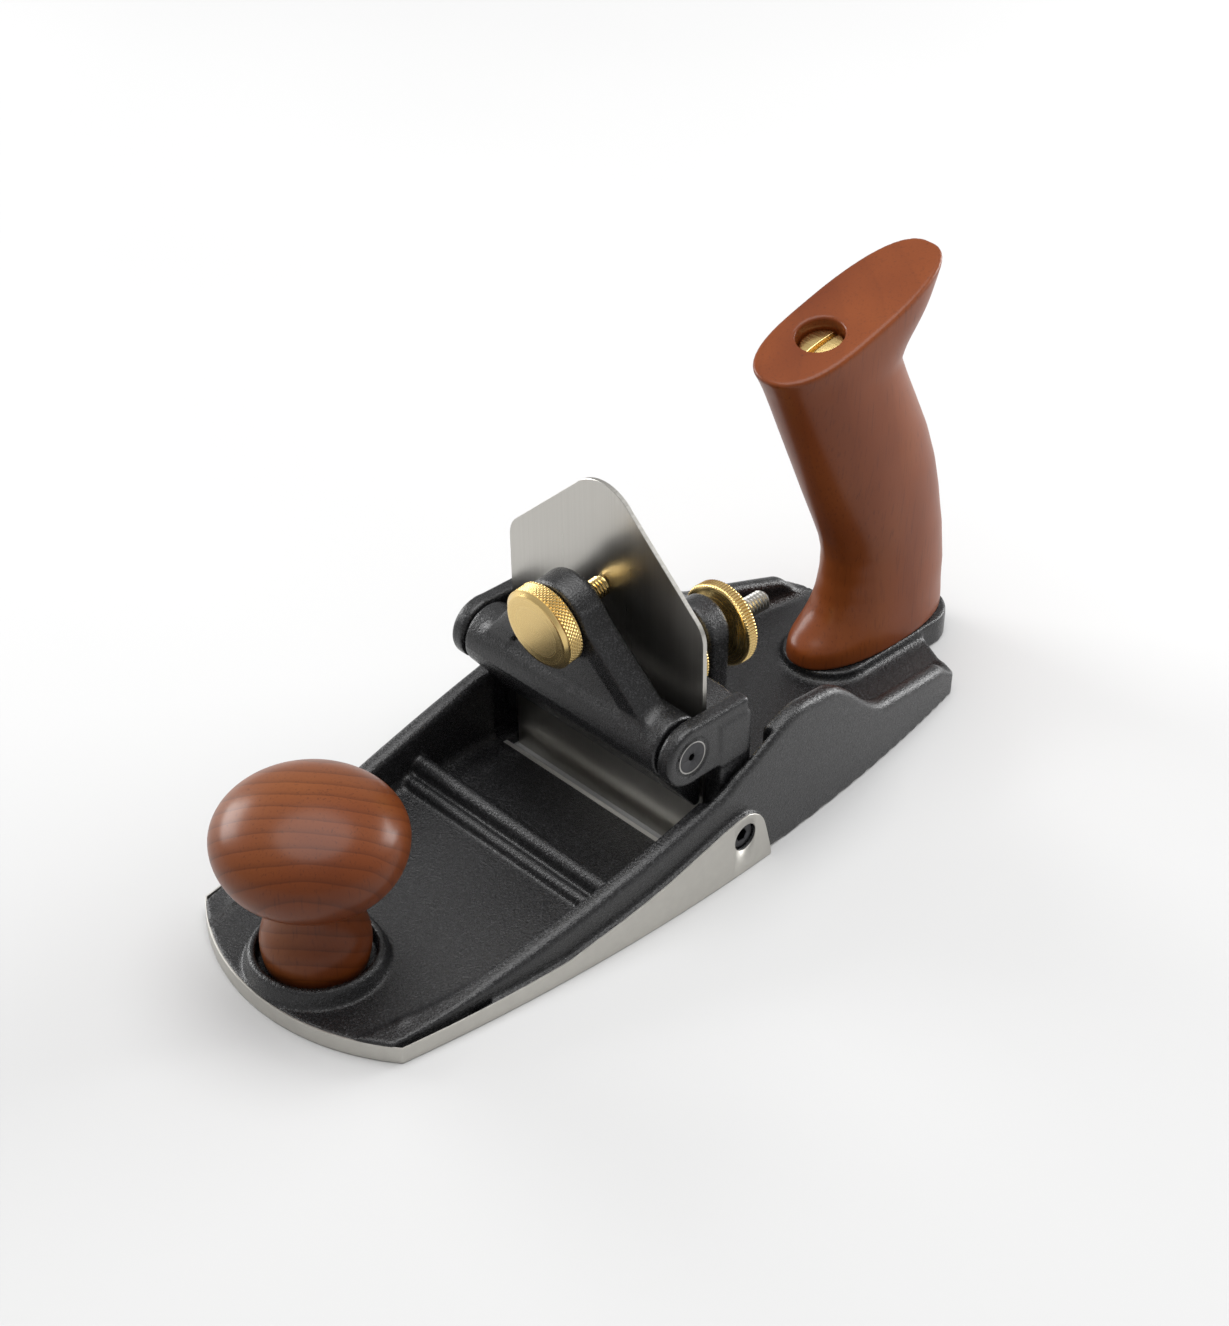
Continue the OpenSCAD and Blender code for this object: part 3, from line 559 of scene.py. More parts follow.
def casting(x, y, z):
    ay = np.abs(y)
    knob_r = np.hypot(x - KNOB_X, y)
    tongue_x = TONGUE_R - TONGUE_D
    floor = TRAY_FLOOR
    for start, end, rise in FLOOR_STEPS:
        floor = floor + rise * ease(start, end, -x)
    f = z - floor
    wall = smax(-side_dist(x, y, PAD_STEP + WALL_T), z - wall_top(x), 2.6 * ease(0, 30, -x) + 0.3)
    f = smin(f, wall, 3.6)
    # Two ribs across the tray
    rib = smin(capsule(x, z, -70, 3, -70, 6.2, 1.8), capsule(x, z, -74.8, 2, -74.8, 9.5, 2.5), 0.9)
    f = smin(f, rib, 1.1)
    # Ring round the knob's foot
    ring = smax((knob_r - RING_OUT) + RING_DRAFT * (z - 5.4), z - RING_TOP, 1.3)
    f = smin(f, smax(ring, RING_IN - knob_r, 0.8), 0.9)
    # Small cast bumps at the toe corners
    bump = np.sqrt(((x + 6.3) / 3.4) ** 2 + ((ay - 33.2) / 1.9) ** 2 + ((z - 5.0) / 1.7) ** 2) - 1
    f = smin(f, bump * 1.7, 0.9)
    # Handle boss and post
    boss = smax(capsule(x, y, tongue_x, 0, -BOSS_FRONT, 0, TONGUE_R), z - BOSS_TOP, 1.0)
    f = smin(f, boss, 2.4)
    post = smax(capsule(y, z, 0, 0, 0, POST_TOP, POST_R), np.abs(x - POST_X) - POST_HALF, 1.6)
    f = smin(f, post, 3.0)
    # Outline in plan, rounded along the outer edge of the wall top
    heel = -(x + HEEL_D) * HEEL_NORMAL[0] + (ay - HEEL_HALF) * HEEL_NORMAL[1]
    plan = smax(side_dist(x, y, PAD_STEP), heel, 0.8)
    plan = np.minimum(plan, capsule(x, y, tongue_x, 0, -205, 0, TONGUE_R))
    plan = np.maximum(plan, toe_dist(x, y) + BAND_T)
    rounding = ease(4, 40, -x) * (1 - ease(214, 219, -x)) * ease(6.5, 9.5, z)
    f = smax(f, plan, 0.5 + 2.3 * rounding)
    # Side pads
    ends = np.maximum(-x - PAD_REAR, toe_dist(x, y) + BAND_T)
    pad = np.maximum(side_dist(x, y, BAND_T), np.maximum(ends, PAD_INNER - ay))
    f = smin(f, smax(pad, z - pad_top(x) - 0.05, 0.5), 0.7)
    # Mouth, frog bay, pivot holes, the knob's seat and the slot in the post
    f = smax(f, -box(x, ay, z, -MOUTH_REAR, -MOUTH_FRONT, -1, MOUTH_HALF, -9, 9), 0.5)
    low_bay = box(x, ay, z, -128, -104, -1, BAY_HALF, 3.4, 90)
    high_bay = box(x, ay, z, -105, -86, -1, BAY_HALF, 27, 90)
    f = smax(f, -np.minimum(low_bay, high_bay), 1.0)
    hole = np.maximum(np.hypot(x - PIVOT[0], z - PIVOT[1]) - PIVOT_HOLE_R, 39 - ay)
    f = smax(f, -hole, 0.35)
    f = smax(f, -np.maximum(knob_r - SEAT_R, SEAT_Z - z), 0.4)
    slot_hole = capsule(y, z, 0, ROD_Z - 1.9, 0, ROD_Z + 1.9, 3.4)
    f = smax(f, -np.maximum(slot_hole, np.abs(x - POST_X) - 7), 0.5)
    return np.maximum(f, -z)


body = field_object("body_casting", casting, (-TONGUE_D, -SOLE_HALF, 0), (TOE_BULGE, SOLE_HALF, 52),
                    grid(0.8), body_paint)
place(body, "body", ["body"])

# Ground band round the toe and up the side pads: a thin closed strip on the casting
BAND_IN, BAND_REAR, SIDE_STATIONS, TOE_STATIONS = -0.45, 126.25, 150, 60
side_run = [(x, float(half_width(x)), float(pad_top(x))) for x in np.linspace(-BAND_REAR, 0, SIDE_STATIONS)]
corner_angle = math.asin(CORNER / TOE_R)
toe_run = [(TOE_CENTRE + TOE_R * math.cos(a), TOE_R * math.sin(a), PAD_TOP[0, 1])
           for a in np.linspace(corner_angle, -corner_angle, TOE_STATIONS)[1:-1]]
stations = side_run + toe_run + [(x, -y, top) for x, y, top in reversed(side_run)]
verts = []
for i, (x, y, top) in enumerate(stations):
    before, after = stations[max(i - 1, 0)], stations[min(i + 1, len(stations) - 1)]
    run = np.array([after[0] - before[0], after[1] - before[1]])
    outward = np.array([-run[1], run[0]]) / np.linalg.norm(run)
    top = max(top, 0.12)
    foot, shoulder = (0.12, top - 0.1) if top > 0.3 else (0.05, top - 0.05)
    for out, z in ((BAND_IN, 0.0), (-0.12, 0.0), (0.0, foot), (0.0, shoulder), (-0.1, top), (BAND_IN, top)):
        verts.append((x + outward[0] * out, y + outward[1] * out, z))
points, last = 6, 6 * (len(stations) - 1)
faces = []
for start in range(0, last, points):
    for k in range(points):
        a, b = start + k, start + (k + 1) % points
        faces.append((a, a + points, b + points, b))
faces += [tuple(range(points - 1, -1, -1)), tuple(last + k for k in range(points))]
band = make_object("sole_band", verts, faces, ground, angle=35)
face_outwards(band)
# Its pivot holes are cut by a boolean
drill_v, drill_f = turned([(PIVOT_HOLE_R, -60), (PIVOT_HOLE_R, 60)], 64)
drill = make_object("drill", aim(drill_v, (PIVOT[0], 0, PIVOT[1]), (0, 1, 0)), drill_f, ground)
mod = band.modifiers.new("hole", "BOOLEAN")
mod.operation = "DIFFERENCE"
mod.object = drill
mod.solver = "EXACT"
with bpy.context.temp_override(object=band, active_object=band, selected_objects=[band]):
    bpy.ops.object.modifier_apply(modifier="hole")
bpy.data.objects.remove(drill)
place(band, "body", [])

# Bare machined lip along the front of the mouth, coloured near white as painted light for the bright floor
# seen through the mouth
lip = [(-103.9, 3.3), (-105.3, 3.15), (-105.7, 2.8), (-105.7, 0.9), (-103.9, 0.9)]
LIP_HALF = 36.9
verts = [(x, y, z) for y in (-LIP_HALF, LIP_HALF) for x, z in lip]
faces = ring_faces(2, len(lip)) + [(4, 3, 2, 1, 0), (5, 6, 7, 8, 9)]
mouth_lip = make_object("mouth_lip", verts, faces, painted_light_lip, angle=20)
face_outwards(mouth_lip)
place(mouth_lip, "body", [])

# ---------------------------------------------------------------- wood

# Front knob: foot, waist and a flattened ball, as radii at heights
KNOB_R, KNOB_Z, KNOB_ABOVE, KNOB_BELOW = 25.2, 45.5, 15.0, 16.6
profile = [(0.02, 5.1), (12.2, 5.1), (13.4, 5.6), (13.9, 8.4), (14.35, 11), (14.45, 14), (13.9, 17),
           (12.7, 20), (12.0, 22.5), (11.7, 25), (11.7, 27.5), (11.9, 29.2)]
for a in np.radians(np.arange(-68, 90.1, 4)):
    fullness, rise = (1.0, KNOB_ABOVE) if a > 0 else (0.72, KNOB_BELOW)
    profile.append((max(KNOB_R * math.cos(a) ** fullness, 0.02), KNOB_Z + rise * math.sin(a)))
pts = np.array(profile)
run = np.r_[0, np.cumsum(np.linalg.norm(np.diff(pts, axis=0), axis=1))]
even = np.linspace(0, run[-1], 150)
rz = np.stack([np.interp(even, run, pts[:, 0]), np.interp(even, run, pts[:, 1])], 1)
for _ in range(5):
    rz[6:-2] = 0.25 * rz[5:-3] + 0.5 * rz[6:-2] + 0.25 * rz[7:-1]
v, fc = turned([tuple(p) for p in rz], 128)
knob = make_object("front_knob_turned", v + np.array([KNOB_X, 0, 0]), fc, knob_wood, angle=60)
place(knob, "body", ["front_knob"])

LEVELS = np.array([  # height, centre behind the toe corners, half length, half width
    (8.6, 217.0, 30.5, 13.2), (10.5, 217.0, 30.5, 13.3), (13, 217.1, 30.3, 13.2), (14.6, 217.4, 29.9, 13.1),
    (16.6, 218.7, 28.2, 12.9), (21, 220.8, 25.6, 12.7), (26, 222, 24.2, 12.5), (33, 222.2, 22.7, 12.4),
    (40, 221.6, 22.0, 12.5), (46, 219.9, 22.0, 12.7), (54, 217.1, 22.9, 13.0), (65, 212.8, 23.9, 13.3),
    (77, 207.5, 24.2, 13.4), (88, 202.0, 23.9, 13.3), (98, 197.0, 23.6, 13.1), (105, 193.6, 23.6, 13.0),
    (110, 193.6, 26.5, 13.1), (114, 193.8, 29.2, 13.2), (118, 194.0, 31.4, 13.3), (123, 194.2, 33.8, 13.3),
    (128, 194.4, 36.0, 13.2), (134, 194.6, 38.2, 13.0)])
# Sloping top of the handle, from front to rear, and the bolt's axis, as (x, height)
FACET_FRONT, FACET_REAR = np.array([-168.0, 113.3]), np.array([-232.0, 132.0])
facet_dir = (FACET_REAR - FACET_FRONT) / np.linalg.norm(FACET_REAR - FACET_FRONT)
facet_n = np.array([facet_dir[1], -facet_dir[0]])
facet_n *= np.sign(facet_n[1])
BOLT_FOOT, BOLT_HEAD = np.array([-217.4, 2.0]), np.array([-187.4, 117.6])
bolt_len = np.linalg.norm(BOLT_HEAD - BOLT_FOOT)
bolt_dir = (BOLT_HEAD - BOLT_FOOT) / bolt_len
NUT_BORE_R, NUT_BORE_DEPTH = 6.85, 15.0
heights = np.linspace(LEVELS[0, 0], LEVELS[-1, 0], 400)


def level(column, z):
    """A column of LEVELS at height z, rounded off by a moving average."""
    width, reach = 11, 5
    values = np.interp(heights, LEVELS[:, 0], LEVELS[:, column])
    padded = np.r_[np.full(reach, values[0]), values, np.full(reach, values[-1])]
    return np.interp(z, heights, np.convolve(padded, np.ones(width) / width, "valid"))


def grip(x, y, z):
    centre, half_length, half_thick = -level(1, z), level(2, z), level(3, z)
    # Super-ellipse section, fuller than an ellipse along the sides and fullest in the horn
    u, w = np.abs(x - centre) / half_length, np.abs(y) / half_thick
    p = 2.25 + 0.5 * ease(108, 122, z)
    r = (u ** p + w ** p) ** (1 / p)
    slope = np.hypot(u / half_length, w / half_thick) / np.maximum(np.hypot(u, w), 1e-6)
    f = (r - 1) / np.maximum(slope, 1e-3)
    f = smax(f, (x - FACET_FRONT[0]) * facet_n[0] + (z - FACET_FRONT[1]) * facet_n[1], 1.5)
    f = smax(f, LEVELS[0, 0] + 0.05 - z, 0.8)
    # Straight bore for the nut
    dx, dz = x - BOLT_FOOT[0], z - BOLT_FOOT[1]
    along = dx * bolt_dir[0] + dz * bolt_dir[1]
    off = np.sqrt(np.maximum(dx ** 2 + dz ** 2 - along ** 2, 0) + y ** 2)
    bore = np.maximum(off - NUT_BORE_R, bolt_len - NUT_BORE_DEPTH - along)
    return smax(f, -bore, 0.9)


handle = field_object("rear_handle_carved", grip, (-249, -14, 8), (-163, 14, 134),
                      grid(0.62), handle_wood)
place(handle, "body", ["rear_handle"])

# ---------------------------------------------------------------- frog, lever cap, blade

BED_X = EDGE_X - BLADE_T / math.cos(LEAN)
EAR_W, EAR_T, EAR_R = 42.0, 4.8, 8.9
PLATE_T, PLATE_TOP, PLATE_DIP, PLATE_FOOT = 11.5, 52.0, 2.8, 10.5
FROG_BARREL_R = 8.0
CLEVIS_R, BOW_PAD_R = 4.4, 6.4


def frog_field(x, y, z):
    ay = np.abs(y)
    to_pivot = np.hypot(x - PIVOT[0], z - PIVOT[1])
    to_hinge = np.hypot(x - CAP_X, z - CAP_Z)
    bed = (x - BED_X) * math.cos(LEAN) - z * math.sin(LEAN)
    plate = np.maximum(bed, -bed - PLATE_T)
    plate = smax(plate, z - (PLATE_TOP - PLATE_DIP * ease(30, 43, ay)), 1.4)
    plate = smax(plate, ay - EAR_W, 1.2)
    plate = smax(plate, PLATE_FOOT - z, 0.6)
    barrel = smax(np.maximum(to_pivot - FROG_BARREL_R, ay - EAR_W), bed, 0.4)
    f = smin(plate, barrel, 2.0)
    # Ears: a disc and the block behind it
    block = box(x, 0, z, -118.2, CAP_X, -1, 1, CAP_Z - 7.6, CAP_Z + 7.7) - 1.2
    ear = np.maximum(smin(to_hinge - EAR_R, block, 0.6), -119.3 - x)
    ear = smax(ear, np.abs(ay - (EAR_W - EAR_T / 2)) - EAR_T / 2, 1.5)
    f = smin(f, ear, 1.6)
    # Round the hinge screw: a shallow ring, the head's recess and the shank's bore
    f = smax(f, -np.maximum(np.abs(to_hinge - 5.6) - 0.35, EAR_W - 0.35 - ay), 0.2)
    f = smax(f, -np.maximum(to_hinge - 4.7, EAR_W - 2.0 - ay), 0.3)
    f = smax(f, -np.maximum(to_hinge - 3.05, 30 - ay), 0.2)
    # Clevis in a pocket, and the bow screw's pad
    f = smax(f, -box(x, ay, z, -130, -118.4, -1, 3.2, ROD_Z - 5.5, ROD_Z + 5.5), 0.5)
    clevis = smax(capsule(x, z, ROD_X, ROD_Z, -115, ROD_Z, CLEVIS_R), np.abs(ay - 4.9) - 1.7, 0.5)
    f = smin(f, clevis, 0.6)
    to_bow = np.hypot(y, z - BOW_Z)
    f = smin(f, smax(to_bow - BOW_PAD_R, np.abs(x + 118.3) - 4.4, 0.8), 1.2)
    f = np.maximum(f, 3.05 - to_bow)
    return np.maximum(f, -np.maximum(to_pivot - 2.55, 36 - ay))


frog = field_object("frog_casting", frog_field, (-128, -EAR_W, 4), (-88, EAR_W, 55),
                    grid(0.5), frog_paint)
place(frog, "frog", ["frog"])

CAP_HALF, CAP_BOSS_R, RIB_W = 36.3, 10.8, 7.4
CAP_BARREL_R, APRON_R = 9.0, 1.4
# Flank of the triangle, from beside the boss to the ear, as (half width, height above the hinge)
FLANK_TOP, FLANK_FOOT = (9.6, CAP_RISE + 4), (35.6, 2.0)
# The apron's edge: just ahead of the blade
APRON_Z = 22.6
APRON_X = EDGE_X + 23 * math.tan(LEAN) + 1.9


def rounded_wedge(x, z, x0, z0, r0, x1, z1, r1):
    """Distance to the hull of two circles in the x-z plane."""
    h = math.hypot(x0 - x1, z0 - z1)
    ux, uz = (x1 - x0) / h, (z1 - z0) / h
    along = (x - x0) * ux + (z - z0) * uz
    across = np.abs((x - x0) * uz - (z - z0) * ux)
    b = (r0 - r1) / h
    a = math.sqrt(1 - b * b)
    k = a * along - b * across
    return np.where(k < 0, np.hypot(across, along) - r0,
                    np.where(k > a * h, np.hypot(across, along - h) - r1, a * across + b * along - r0))


def cap_field(x, y, z):
    ay = np.abs(y)
    dx, dz = x - CAP_X, z - CAP_Z
    n, v = dx * cap_c - dz * cap_s, dx * cap_s + dz * cap_c
    to_screw = np.hypot(y, v - CAP_RISE)
    # Triangle in the leaning plane: boss at the top, corners at the ears
    flank_y, flank_v = FLANK_FOOT[0] - FLANK_TOP[0], FLANK_FOOT[1] - FLANK_TOP[1]
    flank = ((v - FLANK_TOP[1]) * flank_y - (ay - FLANK_TOP[0]) * flank_v) / math.hypot(flank_y, flank_v)
    triangle = np.maximum(flank, np.maximum(-v, v - FLANK_TOP[1]))
    outline = smax(smin(triangle, to_screw - CAP_BOSS_R, 3.0), ay - CAP_HALF, 1.5)
    slab = smax(outline, np.abs(n - 0.5) - 4.5, 2.0)
    # Sunk face between the raised ribs, running out over the barrel
    face_n = 1.6 + 7.3 * np.clip(1 - v / 21, 0, 1) ** 1.7
    sunk = smax(np.maximum(flank, -v - 3) + RIB_W, face_n - n, 1.2)
    sunk = smax(sunk, 12.4 - to_screw, 1.5)
    fill = np.maximum(np.maximum(outline + 1.5, np.abs(n) - 30), np.maximum(n - face_n, -n - 3.9))
    slab = smax(smin(slab, fill, 1.0), -sunk, 1.1)
    # Barrel between the ears with an apron running down to the blade
    apron = rounded_wedge(x, z, CAP_X, CAP_Z, CAP_BARREL_R, APRON_X, APRON_Z, APRON_R)
    apron = smax(apron, ay - CAP_HALF - 0.1, 1.0)
    f = smin(slab, apron, 1.6)
    # Clear of the blade's face, and bored for the two kinds of screw
    f = np.maximum(f, EDGE_X + z * math.tan(LEAN) + 0.35 - x)
    f = np.maximum(f, 3.1 - to_screw)
    return np.maximum(f, -np.maximum(np.hypot(dx, dz) - 3.05, 27.5 - ay))


cap = field_object("lever_cap_casting", cap_field, (-110, -36.6, 20), (-85, 36.6, 86),
                   grid(0.46), cap_paint)
place(cap, "lever_cap", ["lever_cap"])

# Blade: extruded outline with a fine edge break and a bevelled cutting edge
BLADE_HALF, BLADE_LEN, SHOULDER_Z, SLOPE = 36.5, 106.5, 73.0, math.radians(49)
SHOULDER_R, CROWN_R, EDGE_BREAK = 9, 13, 0.12


def arc(cx, cz, r, start, end, count):
    return [(cx + r * math.cos(a), cz + r * math.sin(a)) for a in np.linspace(start, end, count)]


quarter = math.pi / 2
inner = BLADE_HALF - SHOULDER_R
pts = np.array([(-BLADE_HALF, 0.4), (BLADE_HALF, 0.4)]
               + arc(inner, SHOULDER_Z, SHOULDER_R, 0, quarter - SLOPE, 7)
               + arc(0, BLADE_LEN - CROWN_R, CROWN_R, quarter - SLOPE, quarter + SLOPE, 17)
               + arc(-inner, SHOULDER_Z, SHOULDER_R, quarter + SLOPE, math.pi, 7))
m = len(pts)
shrunk = pts.copy()
for i in range(m):
    run = pts[(i + 1) % m] - pts[i - 1]
    shrunk[i] = pts[i] - np.array([run[1], -run[0]]) / np.linalg.norm(run) * EDGE_BREAK
verts = []
for depth, ring in ((0.0, shrunk), (EDGE_BREAK, pts), (BLADE_T - EDGE_BREAK, pts), (BLADE_T, shrunk)):
    for i, (across, up_blade) in enumerate(ring):
        if i < 2:  # the bevel of the cutting edge
            across = pts[i][0]
            up_blade = 0.1 + 0.98 * depth if depth > 0 else 0.08
        verts.append((EDGE_X - depth * math.cos(LEAN) + up_blade * math.sin(LEAN), across,
                      up_blade * math.cos(LEAN) - depth * math.sin(LEAN)))
faces = ring_faces(4, m) + [tuple(range(m - 1, -1, -1)), tuple(3 * m + i for i in range(m))]
blade = make_object("blade_plate", verts, faces, blade_steel, angle=25)
face_outwards(blade)
place(blade, "blade", ["blade"])

# ---------------------------------------------------------------- brass and steel


def on_cap_axis(t):
    return cap_centre + np.array(cap_axis) * t


# Cap knob: diamond knurl between two plain bevels
ROWS, TURNS, KNURL_R, KNURL_DEPTH = 48, 60, 11.85, 0.16
KNURL_FOOT, KNURL_LEN = 0.9, 4.3
# Head and tip along the screw's axis, and how far a screw runs into its head
CAP_SCREW_OUT, CAP_SCREW_TIP, HEAD_GRIP = 5.7, -12.4, 3.8
profile = [(0.02, 0), (9.8, 0), (10.9, 0.25), (11.3, 0.7)]
knurl_first = len(profile)
profile += [(KNURL_R, KNURL_FOOT + KNURL_LEN * i / ROWS) for i in range(ROWS + 1)]
knurl_last = len(profile) - 1
profile += [(11.3, 5.45), (10.75, 6.2), (10.45, 6.38), (9.9, 6.4), (6, 6.38), (0.02, 6.36)]


def diamond(r, a, i):
    if not knurl_first <= i <= knurl_last:
        return r
    twist = TURNS / 11.7 * (i - knurl_first) / ROWS * KNURL_LEN
    fade = min(1, (i - knurl_first) / 3, (knurl_last - i) / 3)
    return r + KNURL_DEPTH * fade * (math.cos(TURNS * a + twist) + math.cos(TURNS * a - twist) - 2)


v, fc = turned(profile, TURNS * 8, diamond)
cap_knob = make_object("cap_knob_knurled", aim(v, on_cap_axis(CAP_SCREW_OUT), cap_axis), fc,
                       cap_brass, angle=40)
place(cap_knob, "cap_knob", ["cap_knob"])


def threaded(length, r, pitch, depth):
    """A single-start V thread about +Z, tapered off at both ends."""
    segments, rows_per_turn, chamfer = 40, 10, 0.8
    rows = int(length / pitch * rows_per_turn)
    verts = []
    for i in range(rows + 1):
        z = length * i / rows
        full = min(1, (z + 0.05) / chamfer, (length - z + 0.05) / chamfer)
        for k in range(segments):
            a = 2 * math.pi * k / segments
            phase = (z / pitch - k / segments) % 1.0
            rr = r - depth * abs(2 * phase - 1) - 1.28 * depth * (1 - full)
            verts.append((rr * math.cos(a), rr * math.sin(a), z))
    base = len(verts)
    verts += [(0, 0, 0), (0, 0, length)]
    return np.array(verts), ring_faces(rows + 1, segments) + cap_faces(rows * segments, base, segments)


v, fc = threaded(-CAP_SCREW_TIP + CAP_SCREW_OUT + HEAD_GRIP, 3.0, 1.0, 0.42)
stem = make_object("cap_screw_threaded", aim(v, on_cap_axis(CAP_SCREW_TIP), cap_axis), fc,
                   cap_brass, angle=50)
place(stem, "cap_screw", ["cap_screw"])

# Adjusting rod: thread, eye and the neck between them
THREAD_START = 4.5
v, fc = threaded(ROD_END + ROD_X - THREAD_START - 0.1, 3.1, 1.25, 0.62)
rod = make_object("adjust_rod_threaded", aim(v, (ROD_X - THREAD_START, 0, ROD_Z), (-1, 0, 0)), fc,
                  dark_steel, angle=50)
place(rod, "adjust_rod", ["adjust_rod"])
eye = [(2.06, -3.0), (3.5, -3.0), (3.8, -2.7), (3.8, 2.7), (3.5, 3.0), (2.06, 3.0)]
v, fc = turned(round_profile(eye, 0.2, 2), 48, bored=True)
rod_eye = make_object("adjust_rod_eye", aim(v, (ROD_X, 0, ROD_Z), (0, 1, 0)), fc, steel, angle=40)
place(rod_eye, "adjust_rod", [])
v, fc = turned([(2.5, 0), (2.5, 3.0)], 40)
neck = make_object("adjust_rod_neck", aim(v, (ROD_X - 3, 0, ROD_Z), (-1, 0, 0)), fc, steel)
place(neck, "adjust_rod", [])

# Tilt nuts: trumpet hub and a straight-knurled rim
TEETH, TILT_BORE_R, NUT_RIM_R = 84, 3.12, 12.6
hub = [(TILT_BORE_R, 0.05), (6.0, 0.05), (6.25, 0.35)]
hub += [(6.2 + 4.8 * t ** 1.9, 0.3 + 2.8 * t) for t in np.linspace(0.1, 1, 12)]
hub += [(11.7, 3.2), (12.15, 3.5)]
rim = [(NUT_RIM_R, 3.75 + 3.1 * t) for t in np.linspace(0, 1, 6)]
tail = [(12.15, 7.05), (11.6, 7.25), (10.9, 7.28), (9.6, 6.95), (6.6, 6.85), (4.2, 7.0),
        (TILT_BORE_R, 7.0)]


def straight_knurl(r, a, i):
    if not len(hub) <= i < len(hub) + len(rim):
        return r
    return r - 0.34 * abs(math.sin(TEETH * a / 2)) ** 0.7


v, fc = turned(hub + rim + tail, TEETH * 8, straight_knurl, bored=True)
for node, way in (("rear_nut", -1), ("front_nut", 1)):
    face_x = POST_X + way * (POST_HALF + 0.3)
    nut = make_object(node + "_knurled", aim(v, (face_x, 0, ROD_Z), (way, 0, 0)), fc, brass, angle=40)
    place(nut, node, [node])

# Bow screw and its small knurled head
v, fc = threaded(-BOW_HEAD + HEAD_GRIP + BOW_TIP, 3.0, 1.0, 0.42)
bow = make_object("bow_screw_threaded", aim(v, (BOW_TIP, 0, BOW_Z), (-1, 0, 0)), fc, steel, angle=50)
place(bow, "bow_screw", ["bow_screw"])
profile = [(3.1, 0), (5.2, 0), (5.7, 0.5)] + [(6.0, 0.7 + 4.6 * t) for t in np.linspace(0, 1, 6)]
profile += [(5.7, 5.5), (5.2, 6.0), (0.02, 6.0)]


def small_knurl(r, a, i):
    return r - 0.25 * abs(math.sin(24 * a)) ** 0.8 if 3 <= i <= 8 else r


v, fc = turned(profile, 48 * 6, small_knurl)
bow_knob = make_object("bow_knob_knurled", aim(v, (BOW_HEAD, 0, BOW_Z), (-1, 0, 0)), fc, brass, angle=40)
place(bow_knob, "bow_knob", ["bow_knob"])


def hexed(r_out, r_hex, depth, length, bevel):
    """A screw end with a hexagon socket: face at z = 0, body running to -length."""
    segments, sixth = 48, math.pi / 3
    verts = []
    for r, z, socket in ((r_out, -length, False), (r_out, -bevel, False), (r_out - bevel, 0, False),
                         (r_hex + 0.35, 0, False), (r_hex, -0.3, True), (r_hex, -depth, True)):
        for k in range(segments):
            a = 2 * math.pi * k / segments
            flat = math.cos(sixth / 2) / math.cos(a % sixth - sixth / 2) if socket else 1
            verts.append((r * flat * math.cos(a), r * flat * math.sin(a), z))
    floor = 5 * segments
    faces = ring_faces(6, segments)
    faces += [tuple(range(segments - 1, -1, -1)), tuple(floor + k for k in range(segments))]
    return np.array(verts), faces


set_screw = hexed(r_out=4.1, r_hex=2.0, depth=3.0, length=3.9, bevel=0.5)
pin = turned([(0.02, 0), (2.3, 0), (2.5, 0.2), (2.5, 4.4), (0.02, 4.4)], 40)
disc = hexed(r_out=4.6, r_hex=1.15, depth=1.6, length=1.9, bevel=0.25)
disc_rim = turned([(4.8, -0.35), (4.8, 0.02), (4.62, 0.08), (4.45, 0.02), (4.45, -0.35)], 72, bored=True)
shank = turned([(0.02, 0), (2.8, 0), (3.0, 0.2), (3.0, 11.5), (0.02, 11.5)], 40)
# Pieces that point outwards at both sides: name, mesh, distance out, centre, body, node, slot
SIDE_PIECES = (
    ("pivot_screw", set_screw, 46.0, PIVOT, "body", ["frog_pivot_screws"], "black_oxide"),
    ("pivot_point", pin, 38.2, PIVOT, "body", [], "black_oxide"),
    ("cap_screw_disc", disc, 41.9, (CAP_X, CAP_Z), "frog", ["cap_pivot_screws"], "black_oxide"),
    ("cap_screw_rim", disc_rim, 41.9, (CAP_X, CAP_Z), "frog", [], "steel"),
    ("cap_screw_shank", shank, 28.6, (CAP_X, CAP_Z), "frog", [], "black_oxide"))
for side, tag in ((1, "left"), (-1, "right")):
    for name, (v, fc), out, (x, z), rides, nodes, slot in SIDE_PIECES:
        verts = aim(v, (x, side * out, z), (0, side, 0))
        place(make_object(name + "_" + tag, verts, fc, slot_of[slot], angle=35), rides, nodes)

# Slotted nut sunk in the handle
NUT_R, NUT_LEN, NUT_SINK = 6.3, 12.0, 13.8
nut_base = BOLT_FOOT + bolt_dir * (bolt_len - NUT_SINK)


def slot_nut(x, y, z):
    dx, dz = x - nut_base[0], z - nut_base[1]
    along = dx * bolt_dir[0] + dz * bolt_dir[1]
    across = dx * bolt_dir[1] - dz * bolt_dir[0]
    off = np.hypot(across, y)
    f = smax(off - NUT_R, along - NUT_LEN + 0.012 * off ** 2, 0.6)
    f = np.maximum(f, -along)
    # Driver slot, a little askew, and the bore for the bolt
    f = smax(f, -np.maximum(np.abs(across * 0.06 + y) - 0.75, 10.2 - along), 0.15)
    return np.maximum(f, -np.maximum(off - 3.1, along - 7.4))


end = nut_base + bolt_dir * (NUT_LEN + 0.4)
handle_nut = field_object("handle_nut_slotted", slot_nut, (nut_base[0] - 7.0, -6.8, nut_base[1] - 2.8),
                          (end[0] + 7.0, 6.8, end[1] + 2.8), 0.24, brass)
place(handle_nut, "body", ["handle_nut"])

# ---------------------------------------------------------------- stage

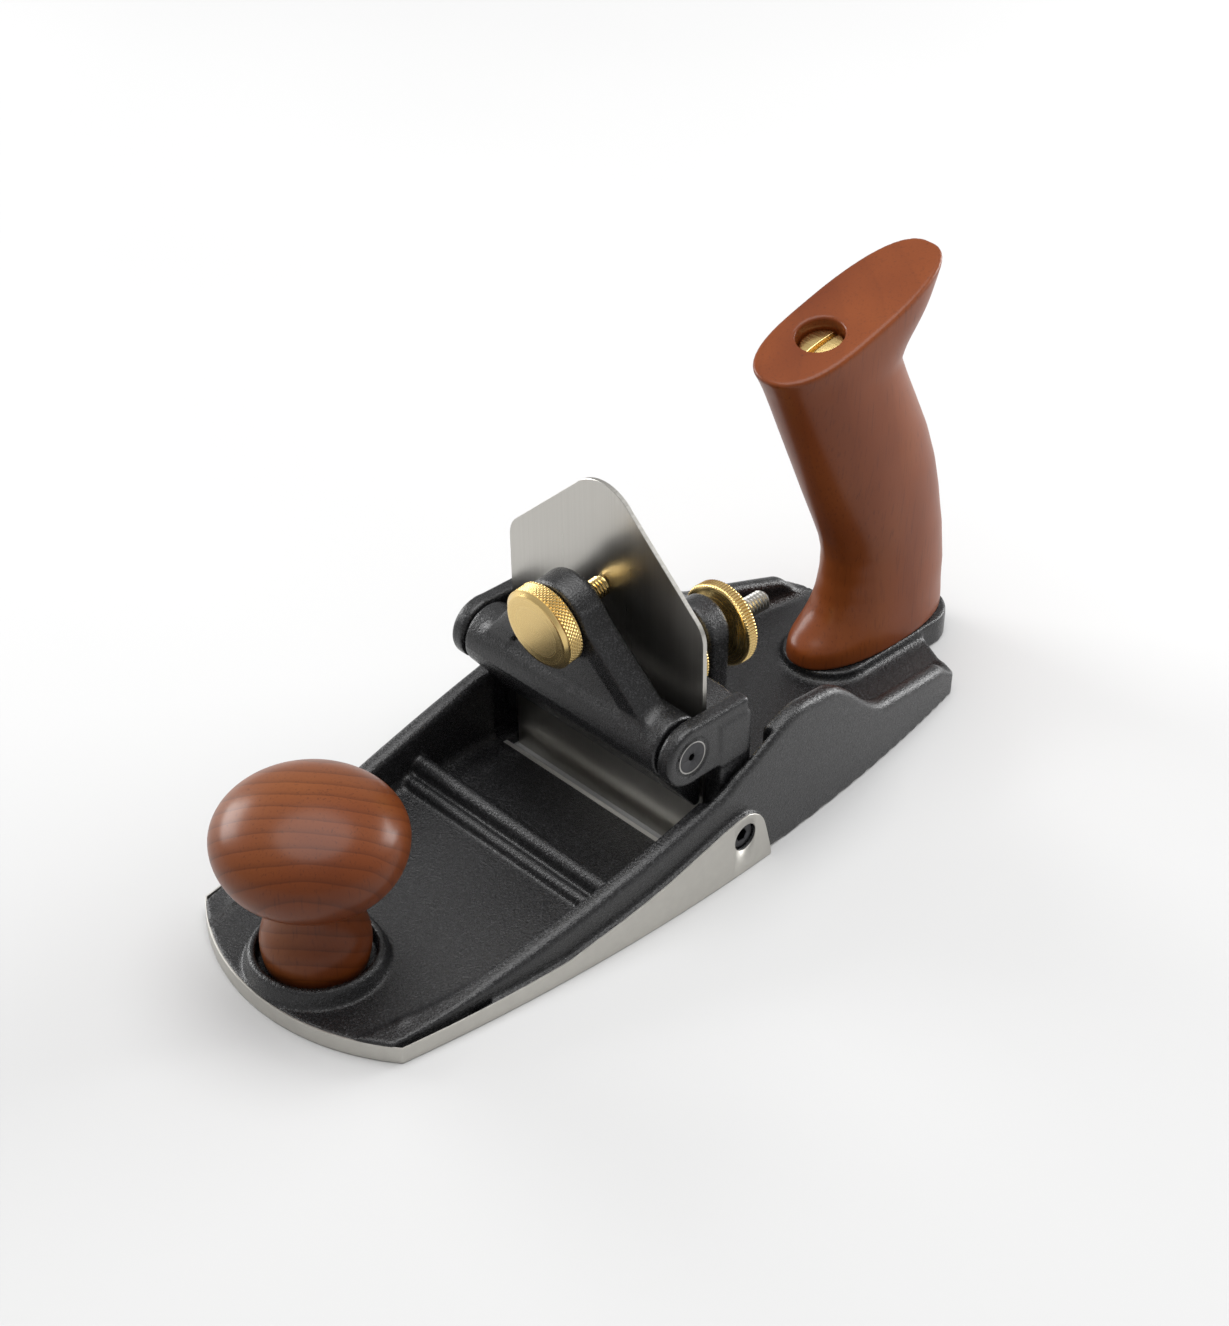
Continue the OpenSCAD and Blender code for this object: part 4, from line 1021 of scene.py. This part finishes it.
FLOOR_HALF, FLOOR_Z = 4.0, -0.0002
floor_mesh = bpy.data.meshes.new("floor")
corners = [(-1, -1), (1, -1), (1, 1), (-1, 1)]
floor_mesh.from_pydata([(FLOOR_HALF * a, FLOOR_HALF * b, FLOOR_Z) for a, b in corners], [], [(0, 1, 2, 3)])
floor_obj = bpy.data.objects.new("floor", floor_mesh)
bpy.context.collection.objects.link(floor_obj)
paper = Nodes("floor")
paper.set(Base_Color=paper.ramp(paper.noise(3.0), [(0.3, 0.53), (0.7, 0.55)]), Roughness=0.9,
          Specular_IOR_Level=0.1)
floor_mesh.materials.append(paper.mat)

scene = bpy.context.scene
scene.view_settings.view_transform = "Standard"
scene.world = bpy.data.worlds.new("studio")
scene.world.use_nodes = True
background = scene.world.node_tree.nodes["Background"]
background.inputs[0].default_value = (1, 1, 1, 1)
background.inputs[1].default_value = 0.48


def area(name, shape, where, size, power):
    """A soft light aimed just above the middle of the sole."""
    lamp = bpy.data.lights.new(name, "AREA")
    lamp.shape = shape
    lamp.size, lamp.size_y = size
    lamp.energy = power
    obj = bpy.data.objects.new(name, lamp)
    obj.location = where
    obj.rotation_euler = (Vector((0, 0, 0.03)) - Vector(where)).to_track_quat("-Z", "Y").to_euler()
    bpy.context.collection.objects.link(obj)


area("key", "ELLIPSE", (0.0, 0.0, 1.25), (1.3, 1.3), 17.0)
area("left_box", "RECTANGLE", (0.3, -1.15, 0.42), (0.7, 0.5), 10.0)
area("right_box", "RECTANGLE", (-1.2, 0.27, 0.42), (0.7, 0.5), 14.0)

# Camera: ahead of the toe on the plane's left, looking back and down
LOOK_AZIMUTH, LOOK_ELEVATION, ROLL = (math.radians(a) for a in (-135.1773, -35.7424, 1.241))
cam = bpy.data.cameras.new("camera")
cam.sensor_fit = "HORIZONTAL"
cam.sensor_width = 36.0
cam.lens = 78.389
cam.clip_start = 0.01
cam_obj = bpy.data.objects.new("camera", cam)
forward = Vector((math.cos(LOOK_ELEVATION) * math.cos(LOOK_AZIMUTH),
                  math.cos(LOOK_ELEVATION) * math.sin(LOOK_AZIMUTH), math.sin(LOOK_ELEVATION)))
level_right = forward.cross(Vector((0, 0, 1))).normalized()
right = level_right * math.cos(ROLL) + level_right.cross(forward) * math.sin(ROLL)
turn = Matrix((right, right.cross(forward), -forward)).transposed()
where = Vector(to_frame((304.332, 412.814, 468.234)))
cam_obj.matrix_world = Matrix.Translation(where) @ turn.to_4x4()
bpy.context.collection.objects.link(cam_obj)
scene.camera = cam_obj
